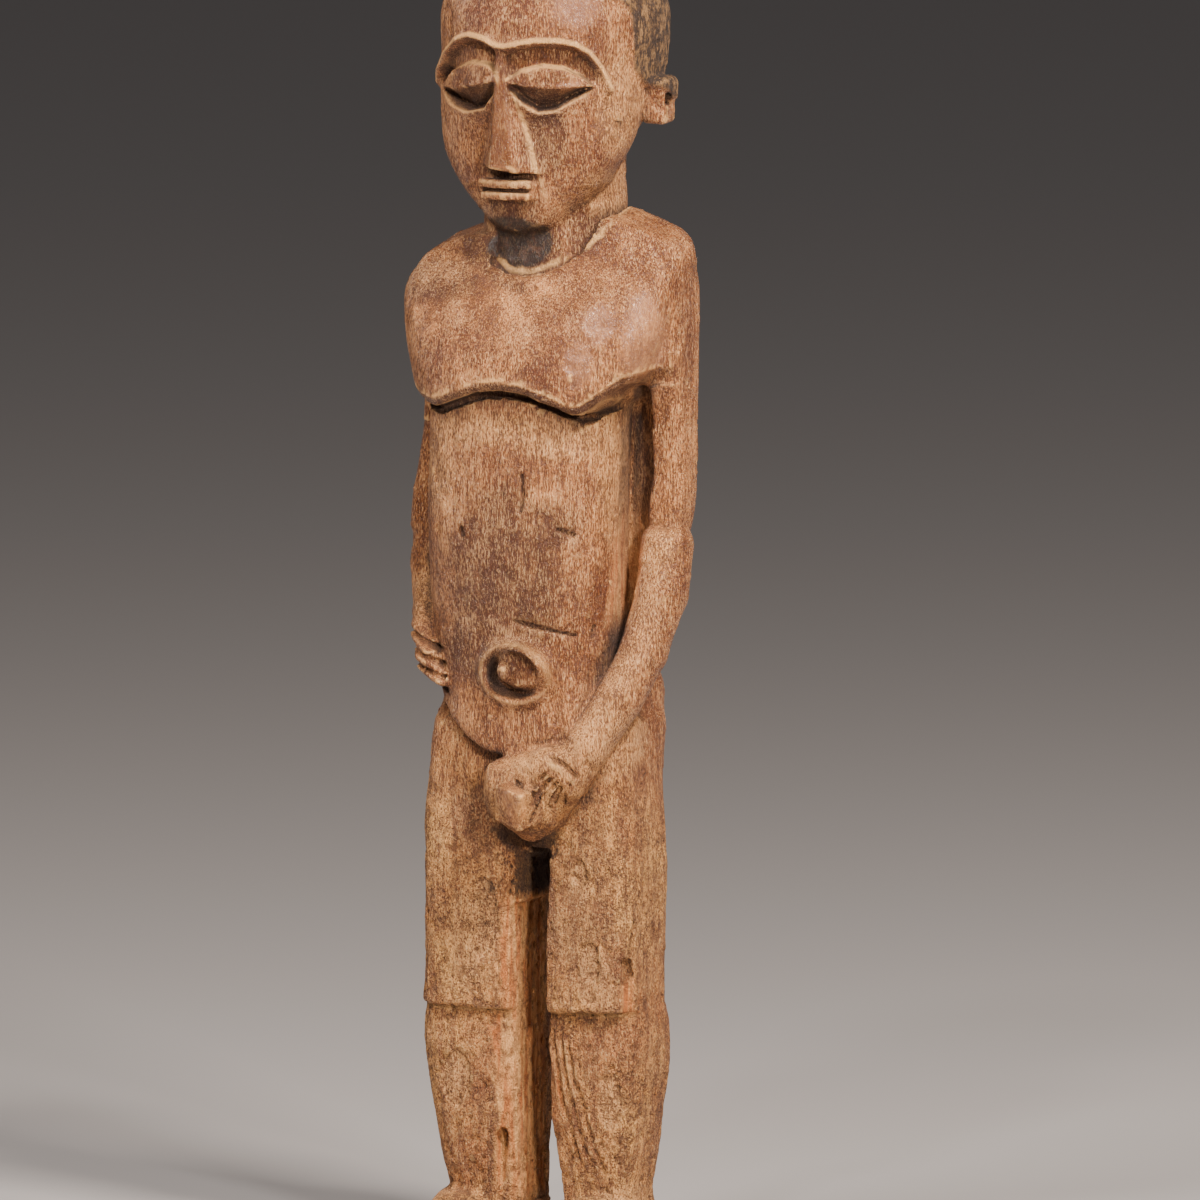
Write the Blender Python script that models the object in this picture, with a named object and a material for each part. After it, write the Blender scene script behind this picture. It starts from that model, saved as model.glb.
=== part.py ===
"""Standing carved wooden figure (bateba), cut from one block of hardwood.

The figure faces -Y, its left side is +X and it stands on z = 0.
Sizes of the carving are in parts: one part is a thousandth of the figure's height.
The wood is worked out as a block of points, each holding how far it lies outside the wood
(negative inside). Shapes are added to the block and cut from it, then its skin becomes the mesh.
"""
import math

import bpy
import numpy as np

# Overall sizes, metres
HEIGHT = 0.680
PART = HEIGHT / 1000.0
BASE_HEIGHT = 0.011
BASE_HALF_WIDTH = 0.062
BASE_FRONT = -0.062
BASE_BACK = 0.044
TRIANGLES = 9900
FINE_WEIGHT = 0.003

# Fineness of the block of points, and its corners, parts
SPACING = 2.6
BLOCK_LOW = (-134.0, -122.0, -10.1)
BLOCK_HIGH = (134.0, 104.0, 1006.0)

# Driving sizes of the carving, parts
LEG_GAP = 21.0
CROTCH = 318.0
KNEE = 183.0
BELLY_BOTTOM = 381.0
NAVEL = (5.0, 446.0)
ELBOW = 556.0
CHEST_LEDGE = 658.0
HEAD_AXIS_X = -0.5
HEAD_AXIS_Y = 9.0
HEAD_TURN = math.radians(4.0)
BROW_LINE = 921.0
NOSE_BASE = 828.0
LIP_LINE = 813.0


def smooth_min(a, b, blend):
    """Lower of two fields, with a fillet of about the given size."""
    if blend <= 0:
        return np.minimum(a, b)
    near = np.maximum(blend - np.abs(a - b), 0.0) / blend
    return np.minimum(a, b) - near * near * blend * 0.25


def smooth_max(a, b, blend):
    return -smooth_min(-a, -b, blend)


def ramp(value, start, end):
    """0 before start, 1 after end, smooth between."""
    t = np.clip((value - start) / (end - start), 0.0, 1.0)
    return t * t * (3.0 - 2.0 * t)


class Block:
    """The wood as a block of points."""

    def __init__(self, low, high, spacing):
        self.low = np.array(low)
        self.spacing = spacing
        self.axes = [np.arange(low[i], high[i] + spacing, spacing) for i in range(3)]
        self.field = np.full([len(a) for a in self.axes], 60.0)

    def window(self, low, high):
        """The part of the block between two corners, and the coordinates of its points."""
        cuts = []
        for axis, a, b in zip(self.axes, low, high):
            cuts.append(slice(int(np.searchsorted(axis, a)), int(np.searchsorted(axis, b))))
        x, y, z = [axis[cut] for axis, cut in zip(self.axes, cuts)]
        return tuple(cuts), x[:, None, None], y[None, :, None], z[None, None, :]

    def add(self, shape, low, high, blend=0.0):
        cuts, x, y, z = self.window(low, high)
        self.field[cuts] = smooth_min(self.field[cuts], shape(x, y, z), blend)

    def cut(self, shape, low, high, blend=0.0):
        cuts, x, y, z = self.window(low, high)
        self.field[cuts] = smooth_max(self.field[cuts], -shape(x, y, z), blend)

    def raise_surface(self, relief, low, high):
        """Moves the skin outwards by the relief, inwards where it is negative."""
        cuts, x, y, z = self.window(low, high)
        self.field[cuts] = self.field[cuts] - relief(x, y, z)


def curve(table, z):
    """Smooth curve through the rows of a table, read at heights z; the first column is height."""
    rows = np.array(sorted(table), dtype=float)
    heights = rows[:, 0]
    values = rows[:, 1:]
    slopes = np.gradient(values, heights, axis=0)
    z = np.clip(z, heights[0], heights[-1])
    i = np.clip(np.searchsorted(heights, z) - 1, 0, len(heights) - 2)
    gap = heights[i + 1] - heights[i]
    t = ((z - heights[i]) / gap)[..., None]
    gap = gap[..., None]
    near = (2 * t ** 3 - 3 * t ** 2 + 1) * values[i] + (t ** 3 - 2 * t ** 2 + t) * gap * slopes[i]
    far = (3 * t ** 2 - 2 * t ** 3) * values[i + 1] + (t ** 3 - t ** 2) * gap * slopes[i + 1]
    return np.moveaxis(near + far, -1, 0)


def loft(stations, power=2.4):
    """Upright form through stations (height, centre x, front y, back y, half width)."""
    def shape(x, y, z):
        centre, front, back, half = curve(stations, z)
        depth = np.maximum((back - front) * 0.5, 0.5)
        half = np.maximum(half, 0.5)
        dx = x - centre
        dy = y - (back + front) * 0.5
        distance = np.sqrt(dx * dx + dy * dy) + 1e-6
        reach = ((np.abs(dx) / half) ** power + (np.abs(dy) / depth) ** power) ** (1.0 / power)
        side = distance * (1.0 - 1.0 / np.maximum(reach, 0.05))
        bottom = min(row[0] for row in stations) - z
        top = z - max(row[0] for row in stations)
        return smooth_max(side, np.maximum(bottom, top), 6.0)
    return shape


def limb(points, squash=(1.0, 1.0, 1.0)):
    """Rounded form along points (x, y, z, radius), flattened by squash along each axis."""
    def shape(x, y, z):
        result = None
        for a, b in zip(points[:-1], points[1:]):
            steps = [(b[i] - a[i]) / squash[i] for i in range(3)]
            offsets = [(x - a[0]) / squash[0], (y - a[1]) / squash[1], (z - a[2]) / squash[2]]
            length = max(sum(s * s for s in steps), 1e-9)
            t = np.clip(sum(o * s for o, s in zip(offsets, steps)) / length, 0.0, 1.0)
            gap = sum((o - t * s) ** 2 for o, s in zip(offsets, steps))
            part = np.sqrt(gap) - (a[3] + t * (b[3] - a[3]))
            result = part if result is None else smooth_min(result, part, 3.0)
        return result * min(squash)
    return shape


def box(centre, half, rounding=3.0, turn=(0.0, 0.0, 0.0)):
    """Rounded box, turned about x, then y, then z (degrees)."""
    cx, cy, cz = [(math.cos(math.radians(a)), math.sin(math.radians(a))) for a in turn]

    def shape(x, y, z):
        px, py, pz = x - centre[0], y - centre[1], z - centre[2]
        px, py = px * cz[0] + py * cz[1], -px * cz[1] + py * cz[0]
        px, pz = px * cy[0] - pz * cy[1], px * cy[1] + pz * cy[0]
        py, pz = py * cx[0] + pz * cx[1], -py * cx[1] + pz * cx[0]
        over = [np.abs(p) - (h - rounding) for p, h in zip((px, py, pz), half)]
        outside = np.sqrt(sum(np.maximum(o, 0.0) ** 2 for o in over))
        inside = np.minimum(np.maximum(np.maximum(over[0], over[1]), over[2]), 0.0)
        return outside + inside - rounding
    return shape


def path_distance(u, v, path):
    """Distance in a plane from points (u, v) to a line through the path's points."""
    best = None
    for (au, av), (bu, bv) in zip(path[:-1], path[1:]):
        du, dv = bu - au, bv - av
        t = np.clip(((u - au) * du + (v - av) * dv) / (du * du + dv * dv), 0.0, 1.0)
        gap = np.hypot(u - au - t * du, v - av - t * dv)
        best = gap if best is None else np.minimum(best, gap)
    return best


def bump(distance, width):
    """1 on a line, 0 at the given distance from it."""
    return 1.0 - ramp(distance, 0.0, width)


def around(points, margin):
    """Corners of the box around points, with a margin."""
    low = [min(p[i] for p in points) - margin for i in range(3)]
    high = [max(p[i] for p in points) + margin for i in range(3)]
    return low, high


def base_and_feet(wood):
    """Low plain base and the two feet on it."""
    top = BASE_HEIGHT / PART
    half = ((BASE_HALF_WIDTH / PART), (BASE_BACK - BASE_FRONT) * 0.5 / PART, top * 0.5 + 5.0)
    centre = (0.0, (BASE_BACK + BASE_FRONT) * 0.5 / PART, top * 0.5 - 5.0)
    wood.add(box(centre, half, 5.0), BLOCK_LOW, (134, 104, 60))
    for side in (-1, 1):
        foot = [(side * 54, 16, 30, 22), (side * 55, -20, 30, 23), (side * 57, -56, 24, 19)]
        wood.add(limb(foot, (1.25, 1.0, 0.8)), *around(foot, 50), blend=8.0)
        for toe in range(4):
            x = side * (38.0 + 12.0 * toe)
            end = -84.0 + 4.0 * toe
            line = [(x, end, 34, 2.2), (x * 0.98, end + 22.0, 40, 2.2)]
            wood.cut(limb(line, (0.8, 1.0, 3.0)), *around(line, 20), blend=2.0)


# The figure's right leg is a little wider at the knee and the hip, and thinner at the ankle
RIGHT_LEG_HEIGHTS = (46, 100, 182, 215, 290, 330)
RIGHT_LEG_WIDER = (-4.5, 0.0, 4.8, 1.0, 1.0, 4.2)


def leg(side, rows, power, forward=0.0):
    """Loft of one leg through rows (height, outer x, front, back); the inner part is cut later."""
    inner = 6.0
    stations = []
    for h, outer, front, back in rows:
        if side < 0:
            outer += np.interp(h, RIGHT_LEG_HEIGHTS, RIGHT_LEG_WIDER)
        stations.append((h, 2.0 + side * (outer + inner) / 2, front - forward, back, (outer - inner) / 2))
    return loft(stations, power)


def legs(wood):
    """Squared thighs end in a ledge over the knees; rounded calves are set back below it."""
    low, high = (-110, -80, 20), (110, 80, 440)
    calf = ((28, 81, -36, 32), (46, 80, -34, 30), (70, 83, -37, 34), (105, 86, -41, 40),
            (140, 90, -43, 43), (166, 91, -43, 42), (200, 87, -40, 36), (230, 83, -36, 34))
    thigh = ((KNEE, 88, -49, 33), (215, 89, -50, 34), (250, 89, -50, 35), (290, 89, -50, 38),
             (330, 86, -50, 40), (380, 82, -48, 42), (408, 80, -44, 42))
    for side, forward in ((-1, 3.0), (1, 0.0)):
        wood.add(leg(side, calf, 3.4, forward), low, high, blend=3.0)
        upper = leg(side, thigh, 4.2)

        def shape(x, y, z):
            ledge = KNEE - z - 60.0 * ramp(y, -30.0, 0.0) + 0.05 * np.abs(x)
            return smooth_max(upper(x, y, z), ledge, 3.0)
        wood.add(shape, low, high, blend=1.5)


def leg_gap(wood):
    """Upright slot between the legs; broken wider under a deep dark opening at its top."""
    def slot(x, y, z):
        left_wall = np.interp(z, (45, 75, 105, 300), (31, 28, 23.5, 24))
        right_wall = np.interp(z, (CROTCH - 52, CROTCH - 47), (-LEG_GAP / 2 + 1, 3.0))
        top = CROTCH - 8.0 - 46.0 * ramp(y, 5.0, 25.0)
        return np.maximum(np.maximum(x - left_wall, right_wall - x), z - top)
    wood.cut(slot, (-60, -110, 34), (60, 104, 330), blend=2.0)


def hips(wood):
    """Hips join the thighs above the gap; two buttocks stand out behind."""
    stations = ((CROTCH - 14, 0, -38, 40, 66), (345, -2, -47, 44, 82), (390, -4, -48, 42, 81),
                (430, -1, -40, 40, 78), (470, -1, -32, 34, 74), (500, -3, -26, 28, 72))
    wood.add(loft(stations, 3.0), (-110, -80, 300), (110, 80, 520), blend=8.0)
    for side in (-1, 1):
        seat = [(side * 42 - 3, 34, 424, 35), (side * 42 - 3, 26, 396, 37), (side * 45, 14, 360, 30)]
        wood.add(limb(seat, (1.15, 1.0, 1.0)), *around(seat, 60), blend=10.0)
    cleft = [(0, 76, 430, 4), (0, 66, 330, 5)]
    wood.cut(limb(cleft), *around(cleft, 25), blend=6.0)


def belly_floor(x):
    """Height of the belly's lower edge across the front."""
    return BELLY_BOTTOM + 34.0 * np.abs(x / 62.0) ** 2.2


def torso(wood):
    """Long barrel belly with a flat back; its lower edge stands out over the thighs."""
    stations = ((360, 0, -64, 30, 66), (400, -1, -67, 34, 71), (440, -3, -67, 32, 73),
                (480, -5, -71, 30, 75), (530, -6, -76, 30, 76), (580, -6, -78, 33, 77),
                (630, -5, -78, 38, 77), (700, -2, -70, 44, 78), (730, 0, -50, 40, 70))
    body = loft(stations, 2.5)

    def shape(x, y, z):
        over = belly_floor(x) - z
        floor = over - 60.0 * ramp(y, -30.0, 30.0)
        return smooth_max(body(x, y, z), floor, 7.0)
    wood.add(shape, (-110, -110, 350), (110, 80, 740), blend=2.0)


def ledge_height(x):
    """Height of the chest's lower edge: a peak in the middle and two drooping points."""
    path = ((-130, 664), (-112, 662), (-88, 652), (-70, 645), (-58, 643), (-40, 649), (-20, 656),
            (0, CHEST_LEDGE), (22, 655), (40, 648), (56, 641), (64, 641), (76, 651), (90, 662),
            (104, 668), (130, 671))
    columns = np.array(path, dtype=float)
    return np.interp(x, columns[:, 0], columns[:, 1])


def shoulder_height(x):
    """Height of the shoulders' top across the figure; its right shoulder is lower and rounder."""
    path = ((-128, 684), (-120, 702), (-112, 727), (-102, 748), (-90, 765), (-76, 774),
            (-58, 781), (0, 790), (50, 798), (66, 798), (82, 792), (98, 786), (112, 777),
            (119, 766), (128, 744))
    columns = np.array(path, dtype=float)
    return np.interp(x, columns[:, 0], columns[:, 1])


def chest(wood):
    """Chest and shoulders: the front plane leans out to a sharp ledge over the belly."""
    stations = ((590, 2, -80, 34, 80), (620, 2, -86, 38, 83), (645, 2, -90, 41, 88),
                (675, 3, -89, 43, 97), (705, 4, -80, 44, 107), (725, 4, -69, 44, 111),
                (745, 4, -54, 43, 114), (765, 5, -40, 42, 114), (785, 5, -32, 40, 112),
                (806, 5, -28, 38, 108))
    body = loft(stations, 2.7)

    def shape(x, y, z):
        floor = ledge_height(x) - z - 90.0 * ramp(y, -6.0, 30.0)
        top = z - shoulder_height(x) + 0.2 * np.abs(y - 6.0)
        return smooth_max(smooth_max(body(x, y, z), floor, 1.5), top * 0.9, 5.5)
    wood.add(shape, (-134, -110, 560), (134, 80, 820), blend=1.5)

    def spine(x, y, z):
        line = bump(np.abs(x), 22.0) * ramp(y, 10.0, 30.0)
        return -6.0 * line * ramp(z, 440.0, 500.0) * ramp(-z, -770.0, -720.0)
    wood.raise_surface(spine, (-30, 5, 430), (30, 70, 780))


def collar_ring(reach, lift):
    """Points of the collar's rim around the neck: low in front, high behind."""
    ring = []
    for step in range(25):
        angle = math.radians(15.0 * step)
        x = 4.0 + reach * 58.0 * math.sin(angle)
        y = 2.0 - reach * 54.0 * math.cos(angle)
        dip = 34.0 if math.cos(angle) > 0 else 8.0
        z = 778.0 - dip * math.cos(angle) + 4.0 * math.sin(angle) + lift
        ring.append((x, y, z))
    return ring


def collar(wood):
    """The neck stands in a shallow step behind the chest's raised rim."""
    rim = [(x, y, z, 4.5) for x, y, z in collar_ring(1.02, -4.0) if y < 20.0]
    rim = rim[-6:] + rim[:7]
    wood.add(limb(rim), *around(rim, 20), blend=7.0)
    for lift, radius in ((2.0, 4.0), (10.0, 6.0), (20.0, 8.0), (32.0, 10.0)):
        groove = [(x, y, z, radius) for x, y, z in collar_ring(0.92, lift)]
        groove = groove[-3:] + groove[:9]
        wood.cut(limb(groove), *around(groove, 30), blend=1.5)
    stations = ((700, 4, -36, 40, 50), (745, 4, -42, 43, 53), (770, 4, -41, 47, 54),
                (790, 4, -39, 51, 55), (830, 2, -38, 58, 53), (870, 2, -38, 66, 56))
    wood.add(loft(stations, 2.2), (-80, -80, 690), (90, 100, 880), blend=3.0)


def head_frame(x, y):
    """Coordinates turned with the head: across the face, and forward from the head's axis."""
    dx, dy = x - HEAD_AXIS_X, y - HEAD_AXIS_Y
    across = dx * math.cos(HEAD_TURN) - dy * math.sin(HEAD_TURN)
    forward = -(dx * math.sin(HEAD_TURN) + dy * math.cos(HEAD_TURN))
    return across, forward


def face_angle(x, y):
    """Angle around the head from the middle of the face, degrees, positive to its left."""
    across, forward = head_frame(x, y)
    return np.degrees(np.arctan2(across, forward))


def head_loft(stations, power):
    """Loft in the head's own turned frame: (height, centre, front, back, half width)."""
    body = loft([(h, c, -f, -b, w) for h, c, f, b, w in stations], power)

    def shape(x, y, z):
        across, forward = head_frame(x, y)
        return body(across, -forward, z)
    return shape


HEAD_BOX = ((-110, -100, 760), (115, 104, 1006))


def head(wood):
    """Egg of the skull, and the face below it tapering to a short chin."""
    skull = ((834, 0, 40, -58, 40), (850, 0, 60, -70, 57), (868, 0, 74, -78, 70),
             (890, 0, 80, -84, 79), (920, 0, 83, -88, 83), (950, 0, 82, -88, 82),
             (972, 0, 73, -82, 74), (986, 0, 56, -64, 58), (994, 0, 36, -40, 38),
             (997, 0, 12, -14, 14))
    wood.add(head_loft(skull, 2.15), *HEAD_BOX, blend=6.0)
    mask = ((778, 0, 54, 36, 14), (784, 0, 58, 24, 26), (796, 0, 61, 8, 40), (815, 0, 64, -6, 59),
            (842, 0, 66, -18, 75), (870, 0, 70, -40, 80), (900, 0, 74, -50, 80))
    wood.add(head_loft(mask, 2.3), *HEAD_BOX, blend=6.0)


# Lines of the face: angle around the head, degrees (negative to its right), and height
BROW = ((-61, 890), (-53, 901), (-40, 915), (-28, 926), (-18, 930), (-9, 928), (-2, 923),
        (4, 922), (12, 925), (20, 927), (33, 927), (41, 924), (48, 918), (55, 906), (60, 890))
LID_TOP = ((-55, 888), (-48, 896), (-34, 906), (-20, 912), (-8, 911), (-3, 905), (0, 898),
           (4, 900), (12, 907), (24, 911), (36, 909), (45, 903), (53, 894))
LID_EDGE = ((-55, 887), (-48, 891), (-30, 896), (-17, 899), (-7, 898), (0, 896),
            (4, 896), (14, 898), (24, 899), (36, 898), (47, 896), (53, 893))
EYE_BOTTOM = ((-55, 887), (-42, 876), (-28, 872), (-13, 876), (-5, 887), (0, 896),
              (4, 892), (12, 881), (21, 874), (32, 876), (41, 884), (53, 893))
DEGREE = 1.45


def height_on(path, angle):
    """Height of a line of the face at an angle."""
    return np.interp(angle, [p[0] for p in path], [p[1] for p in path])


def face(wood):
    """Brow ledges, and eyes with bulging lids over hollows that cut back under them."""
    brow = [(angle * DEGREE, height) for angle, height in BROW]

    def relief(x, y, z):
        angle = face_angle(x, y)
        front = ramp(-np.abs(angle), -72.0, -62.0)
        ridge = path_distance(angle * DEGREE, z, brow)
        result = 4.5 * bump(ridge, 5.0)
        brow_height = height_on(BROW, angle)
        top, edge = height_on(LID_TOP, angle), height_on(LID_EDGE, angle)
        bottom = height_on(EYE_BOTTOM, angle)
        socket = ramp(brow_height - 2.0 - z, 0.0, 4.0) * ramp(z - bottom, -3.0, 2.0)
        socket = socket * ramp(-np.abs(angle + 1.0), -57.0, -50.0)
        result = result - 6.5 * socket
        almond = ramp(np.minimum(top - z, z - bottom), 0.0, 2.5)
        result = result + almond * (7.5 * ramp(top - z, -1.0, 5.0) + 1.5 * ramp(edge + 4.0 - z, 0.0, 4.0))
        under = np.clip((edge - z) / np.maximum(edge - bottom, 1.0), 0.0, 1.0)
        result = result - almond * 17.0 * under ** 0.75
        rim = bump(np.abs(z - bottom + 2.5), 3.5) * ramp(edge - bottom, 3.0, 8.0)
        return (result + 1.5 * rim) * front
    wood.raise_surface(relief, *HEAD_BOX)


def nose_and_mouth(wood):
    """Long wedge of a nose with a narrow flat front and a flat base, and two thin straight lips."""
    def nose(x, y, z):
        across, forward = head_frame(x, y)
        across = across - 0.5
        down = np.clip((BROW_LINE + 4.0 - z) / (BROW_LINE + 4.0 - NOSE_BASE), 0.0, 1.0)
        half = 2.5 + 8.0 * down ** 1.3
        spread = 4.0 + 12.0 * down
        reach = 84.5 - 3.5 * down
        side = ((np.abs(across) - half) * 17.0 + (forward - reach) * spread) / np.hypot(17.0, spread)
        ends = np.maximum(NOSE_BASE - z - 0.12 * across, z - BROW_LINE - 2.0)
        return smooth_max(smooth_max(side, forward - reach, 1.0), np.maximum(ends, 30.0 - forward), 1.0)
    wood.add(nose, (-60, -100, 800), (60, -20, 930), blend=1.5)

    def lip(height, thick, reach, half=22.0):
        def shape(x, y, z):
            across, forward = head_frame(x, y)
            across = across + 2.0
            side = np.abs(across) - half
            roof = forward - reach + 0.006 * across ** 2
            ends = np.abs(z - height) - thick
            return smooth_max(np.maximum(side, ends), np.maximum(roof, 30.0 - forward), 1.0)
        return shape
    wood.add(lip(LIP_LINE + 3.9, 2.7, 76.0), (-60, -100, 790), (60, -20, 840), blend=1.0)
    wood.add(lip(LIP_LINE - 4.6, 3.2, 74.5, 21.0), (-60, -100, 790), (60, -20, 840), blend=1.0)
    wood.add(lip(LIP_LINE, 6.5, 70.0), (-60, -100, 790), (60, -20, 840), blend=1.5)


def ears(wood):
    """Small blocks with a rounded outer rim around a cut hollow, flat underneath."""
    for side in (-1, 1):
        turn = math.degrees(-HEAD_TURN)
        x = HEAD_AXIS_X + side * 85.0 * math.cos(HEAD_TURN)
        y = HEAD_AXIS_Y + 15.0 - side * 85.0 * math.sin(HEAD_TURN)
        low, high = (-125, -30, 850), (125, 60, 905)
        wood.add(box((x, y, 878), (10, 13, 17), 4.0, (0, 0, turn + side * 12)), low, high, blend=1.5)
        wood.cut(box((x + side * 8, y - 3, 882), (5, 6, 6), 2.0, (0, 0, turn + side * 12)), low, high, 1.5)
        notch = [(x + side * 14, y - 14, 869, 3.5), (x + side * 3, y - 14, 876, 3.0)]
        wood.cut(limb(notch), *around(notch, 12), blend=1.0)


# Edge of the hair: angle from the middle of the face, degrees, and height
HAIRLINE = ((0, 972), (40, 968), (66, 960), (74, 948), (77, 903), (84, 895), (100, 880), (180, 860))


def hair(wood):
    """Slightly raised cap of hair with an upright front edge at the temples."""
    def relief(x, y, z):
        line = height_on(HAIRLINE, np.abs(face_angle(x, y)))
        return 2.5 * ramp(z - line, -1.5, 2.5)
    wood.raise_surface(relief, *HEAD_BOX)


def left_arm(wood):
    """Upper arm hangs free of the side; the thicker forearm lies across the hip to the groin."""
    upper = ((775, 100, -16, 26, 12), (748, 102, -20, 29, 15), (715, 104, -24, 27, 15.5),
             (690, 105, -26, 24, 15),
             (640, 106, -18, 22, 13.5), (600, 105, -15, 22, 14), (570, 103, -15, 20, 15),
             (548, 101, -12, 16, 14))
    wood.add(loft(upper, 3.6), (60, -60, 540), (134, 60, 760), blend=5.0)
    forearm = [(102, -4, ELBOW - 14, 20.5), (101, -12, 506, 20), (93, -28, 462, 18),
               (80, -42, 428, 18), (60, -55, 392, 17), (44, -60, 364, 16)]

    def shape(x, y, z):
        return smooth_max(limb(forearm)(x, y, z), z - ELBOW, 2.0)
    wood.add(shape, *around(forearm, 34), blend=2.0)


def right_arm(wood):
    """The right arm stays close to the side; its hand lies on the side of the belly."""
    upper = ((715, -94, -14, 28, 16), (670, -91, -10, 24, 14), (637, -90, -10, 24, 13),
             (600, -93, -12, 24, 14), (565, -97, -16, 22, 14.5), (545, -97, -18, 16, 14.5))
    wood.add(loft(upper, 3.0), (-134, -50, 540), (-60, 60, 730), blend=6.0)
    forearm = [(-96, 0, 562, 14.5), (-96, -6, 520, 14.5), (-90, -16, 484, 14.5), (-80, -28, 462, 13)]
    wood.add(limb(forearm), *around(forearm, 34), blend=3.0)


def armpits(wood):
    """Deep gaps cut from the front between the arms and the torso."""
    web = [(84, 14, 668, 15), (84, 13, 580, 15), (80, 11, 510, 13), (70, 8, 470, 10)]
    wood.add(limb(web, (1.5, 0.85, 1.0)), *around(web, 34), blend=6.0)
    for y in (-60, -44, -28, -14):
        line = [(87, y, 656, 8), (87, y, 600, 7), (85, y, 562, 4)]
        wood.cut(limb(line, (0.85, 1.6, 1.0)), *around(line, 24), blend=2.0)
    for y in (-50, -34, -18):
        line = [(-78, y, 640, 4), (-79, y, 600, 4), (-81, y, 540, 4), (-81, y - 4, 500, 3)]
        wood.cut(limb(line, (0.8, 1.6, 1.0)), *around(line, 24), blend=2.0)


def navel(wood):
    """Raised ring; inside it a boss fills the upper left of the figure, with a pointed nub."""
    def relief(x, y, z):
        dx, dz = (x - NAVEL[0]) / 1.25, z - NAVEL[1]
        radius = np.hypot(dx, dz)
        front = ramp(-y, 20.0, 40.0)
        ring = 5.0 * bump(np.abs(radius - 22.0), 8.0)
        hollow = -7.0 * ramp(-radius, -21.0, -15.0)
        boss = 11.0 * ramp(-np.hypot(dx - 5.0, dz - 4.5), -21.0, -13.0)
        nub = 8.0 * ramp(-np.hypot((dx + 5.0) * 1.3, (dz - 1.0) * 0.8), -9.0, -2.0)
        return (ring + hollow + boss + nub) * front
    wood.raise_surface(relief, (-50, -114, 400), (50, -30, 480))


def right_hand(wood):
    """The right hand lies flat on the side of the belly; four slanting cuts part its fingers."""
    palm = [(-91, -16, 500, 12), (-84, -34, 472, 13), (-74, -47, 452, 13), (-63, -55, 436, 7)]
    wood.add(limb(palm, (1.0, 1.25, 1.0)), *around(palm, 34), blend=2.0)

    def fingers(x, y, z):
        below = 474.0 - 0.42 * (x + 98.0) - z
        nearest = np.abs(below - 9.5 * np.clip(np.round(below / 9.5), 0, 3))
        reach = ramp(-x - 0.3 * (z - 476.0), 66.0, 71.0) * ramp(-y, 16.0, 24.0)
        return -3.6 * bump(nearest, 3.6) * reach
    wood.raise_surface(fingers, (-116, -84, 420), (-58, -8, 490))


def groin_and_left_hand(wood):
    """Left hand over the groin: a blunt rounded mass, a faceted knob and short cut fingers."""
    crease = [(-36, -62, 384, 6), (-34, -60, 356, 7), (-24, -58, 328, 8), (2, -56, 306, 8),
              (36, -56, 312, 8), (56, -56, 338, 6)]
    wood.cut(limb(crease), *around(crease, 20), blend=3.0)
    mass = [(24, -52, 362, 27), (9, -56, 353, 29), (14, -52, 344, 25), (12, -52, 328, 12)]
    wood.add(limb(mass, (1.15, 1.0, 1.0)), *around(mass, 50), blend=1.5)
    back = [(50, -58, 382, 14), (30, -68, 376, 14), (-6, -66, 366, 14)]
    wood.add(limb(back), *around(back, 30), blend=4.0)
    knob = box((14, -81, 348), (14, 13, 15), 1.5, (12, 14, -20))
    wood.add(knob, (-30, -114, 310), (40, -50, 380), blend=0.8)

    def fingers(x, y, z):
        along = x - 30.0 - 0.55 * (z - 356.0)
        nearest = np.abs(along - 6.0 * np.clip(np.round(along / 6.0), 0, 3))
        reach = ramp(z, 346.0, 349.0) * ramp(-z, -367.0, -363.0) * ramp(-y, 54.0, 62.0)
        return -3.5 * bump(nearest, 2.6) * reach
    wood.raise_surface(fingers, (16, -114, 340), (72, -44, 374))


def splits(wood):
    """Old holes and slots in the legs."""
    slots = (((85, -44, 226, 3.8), (86, -43, 216, 3.4), (86, -42, 184, 2.6)),
             ((-20, -42, 88, 5.0), (-21, -40, 72, 3.4), (-22, -40, 52, 3.0)))
    for slot in slots:
        wood.cut(limb(slot, (1.0, 2.4, 1.0)), *around(slot, 24), blend=1.0)


def flat_underside(wood):
    """Nothing reaches below the ground."""
    wood.field = np.maximum(wood.field, -wood.axes[2][None, None, :])


def mend_corners(field):
    """Fills points where two bits of wood, or two hollows, would touch only at an edge or corner."""
    for _ in range(20):
        mended = 0
        for first, second in ((0, 1), (0, 2), (1, 2)):
            view = np.moveaxis(field, (first, second), (0, 1))
            a, b = view[:-1, :-1], view[1:, 1:]
            c, d = view[1:, :-1], view[:-1, 1:]
            crossed = (a < 0) & (b < 0) & (c >= 0) & (d >= 0)
            c[crossed] = -0.05
            other = (a >= 0) & (b >= 0) & (c < 0) & (d < 0)
            a[other] = -0.05
            mended += int(crossed.sum() + other.sum())
        mended += mend_diagonals(field)
        if mended == 0:
            break


def mend_diagonals(field):
    """The same for the four long diagonals of each cell."""
    near, far = slice(None, -1), slice(1, None)
    mended = 0
    for i, j in ((near, near), (far, near), (near, far), (far, far)):
        ni = far if i is near else near
        nj = far if j is near else near
        a, b = field[i, j, near], field[ni, nj, far]
        rest = [field[ni, j, near], field[i, nj, near], field[ni, nj, near],
                field[i, j, far], field[ni, j, far], field[i, nj, far]]
        emptied = np.logical_and.reduce([r >= 0 for r in rest]) & (a < 0) & (b < 0)
        filled = np.logical_and.reduce([r < 0 for r in rest]) & (a >= 0) & (b >= 0)
        rest[0][emptied] = -0.05
        a[filled] = -0.05
        mended += int(emptied.sum() + filled.sum())
    return mended


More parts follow.
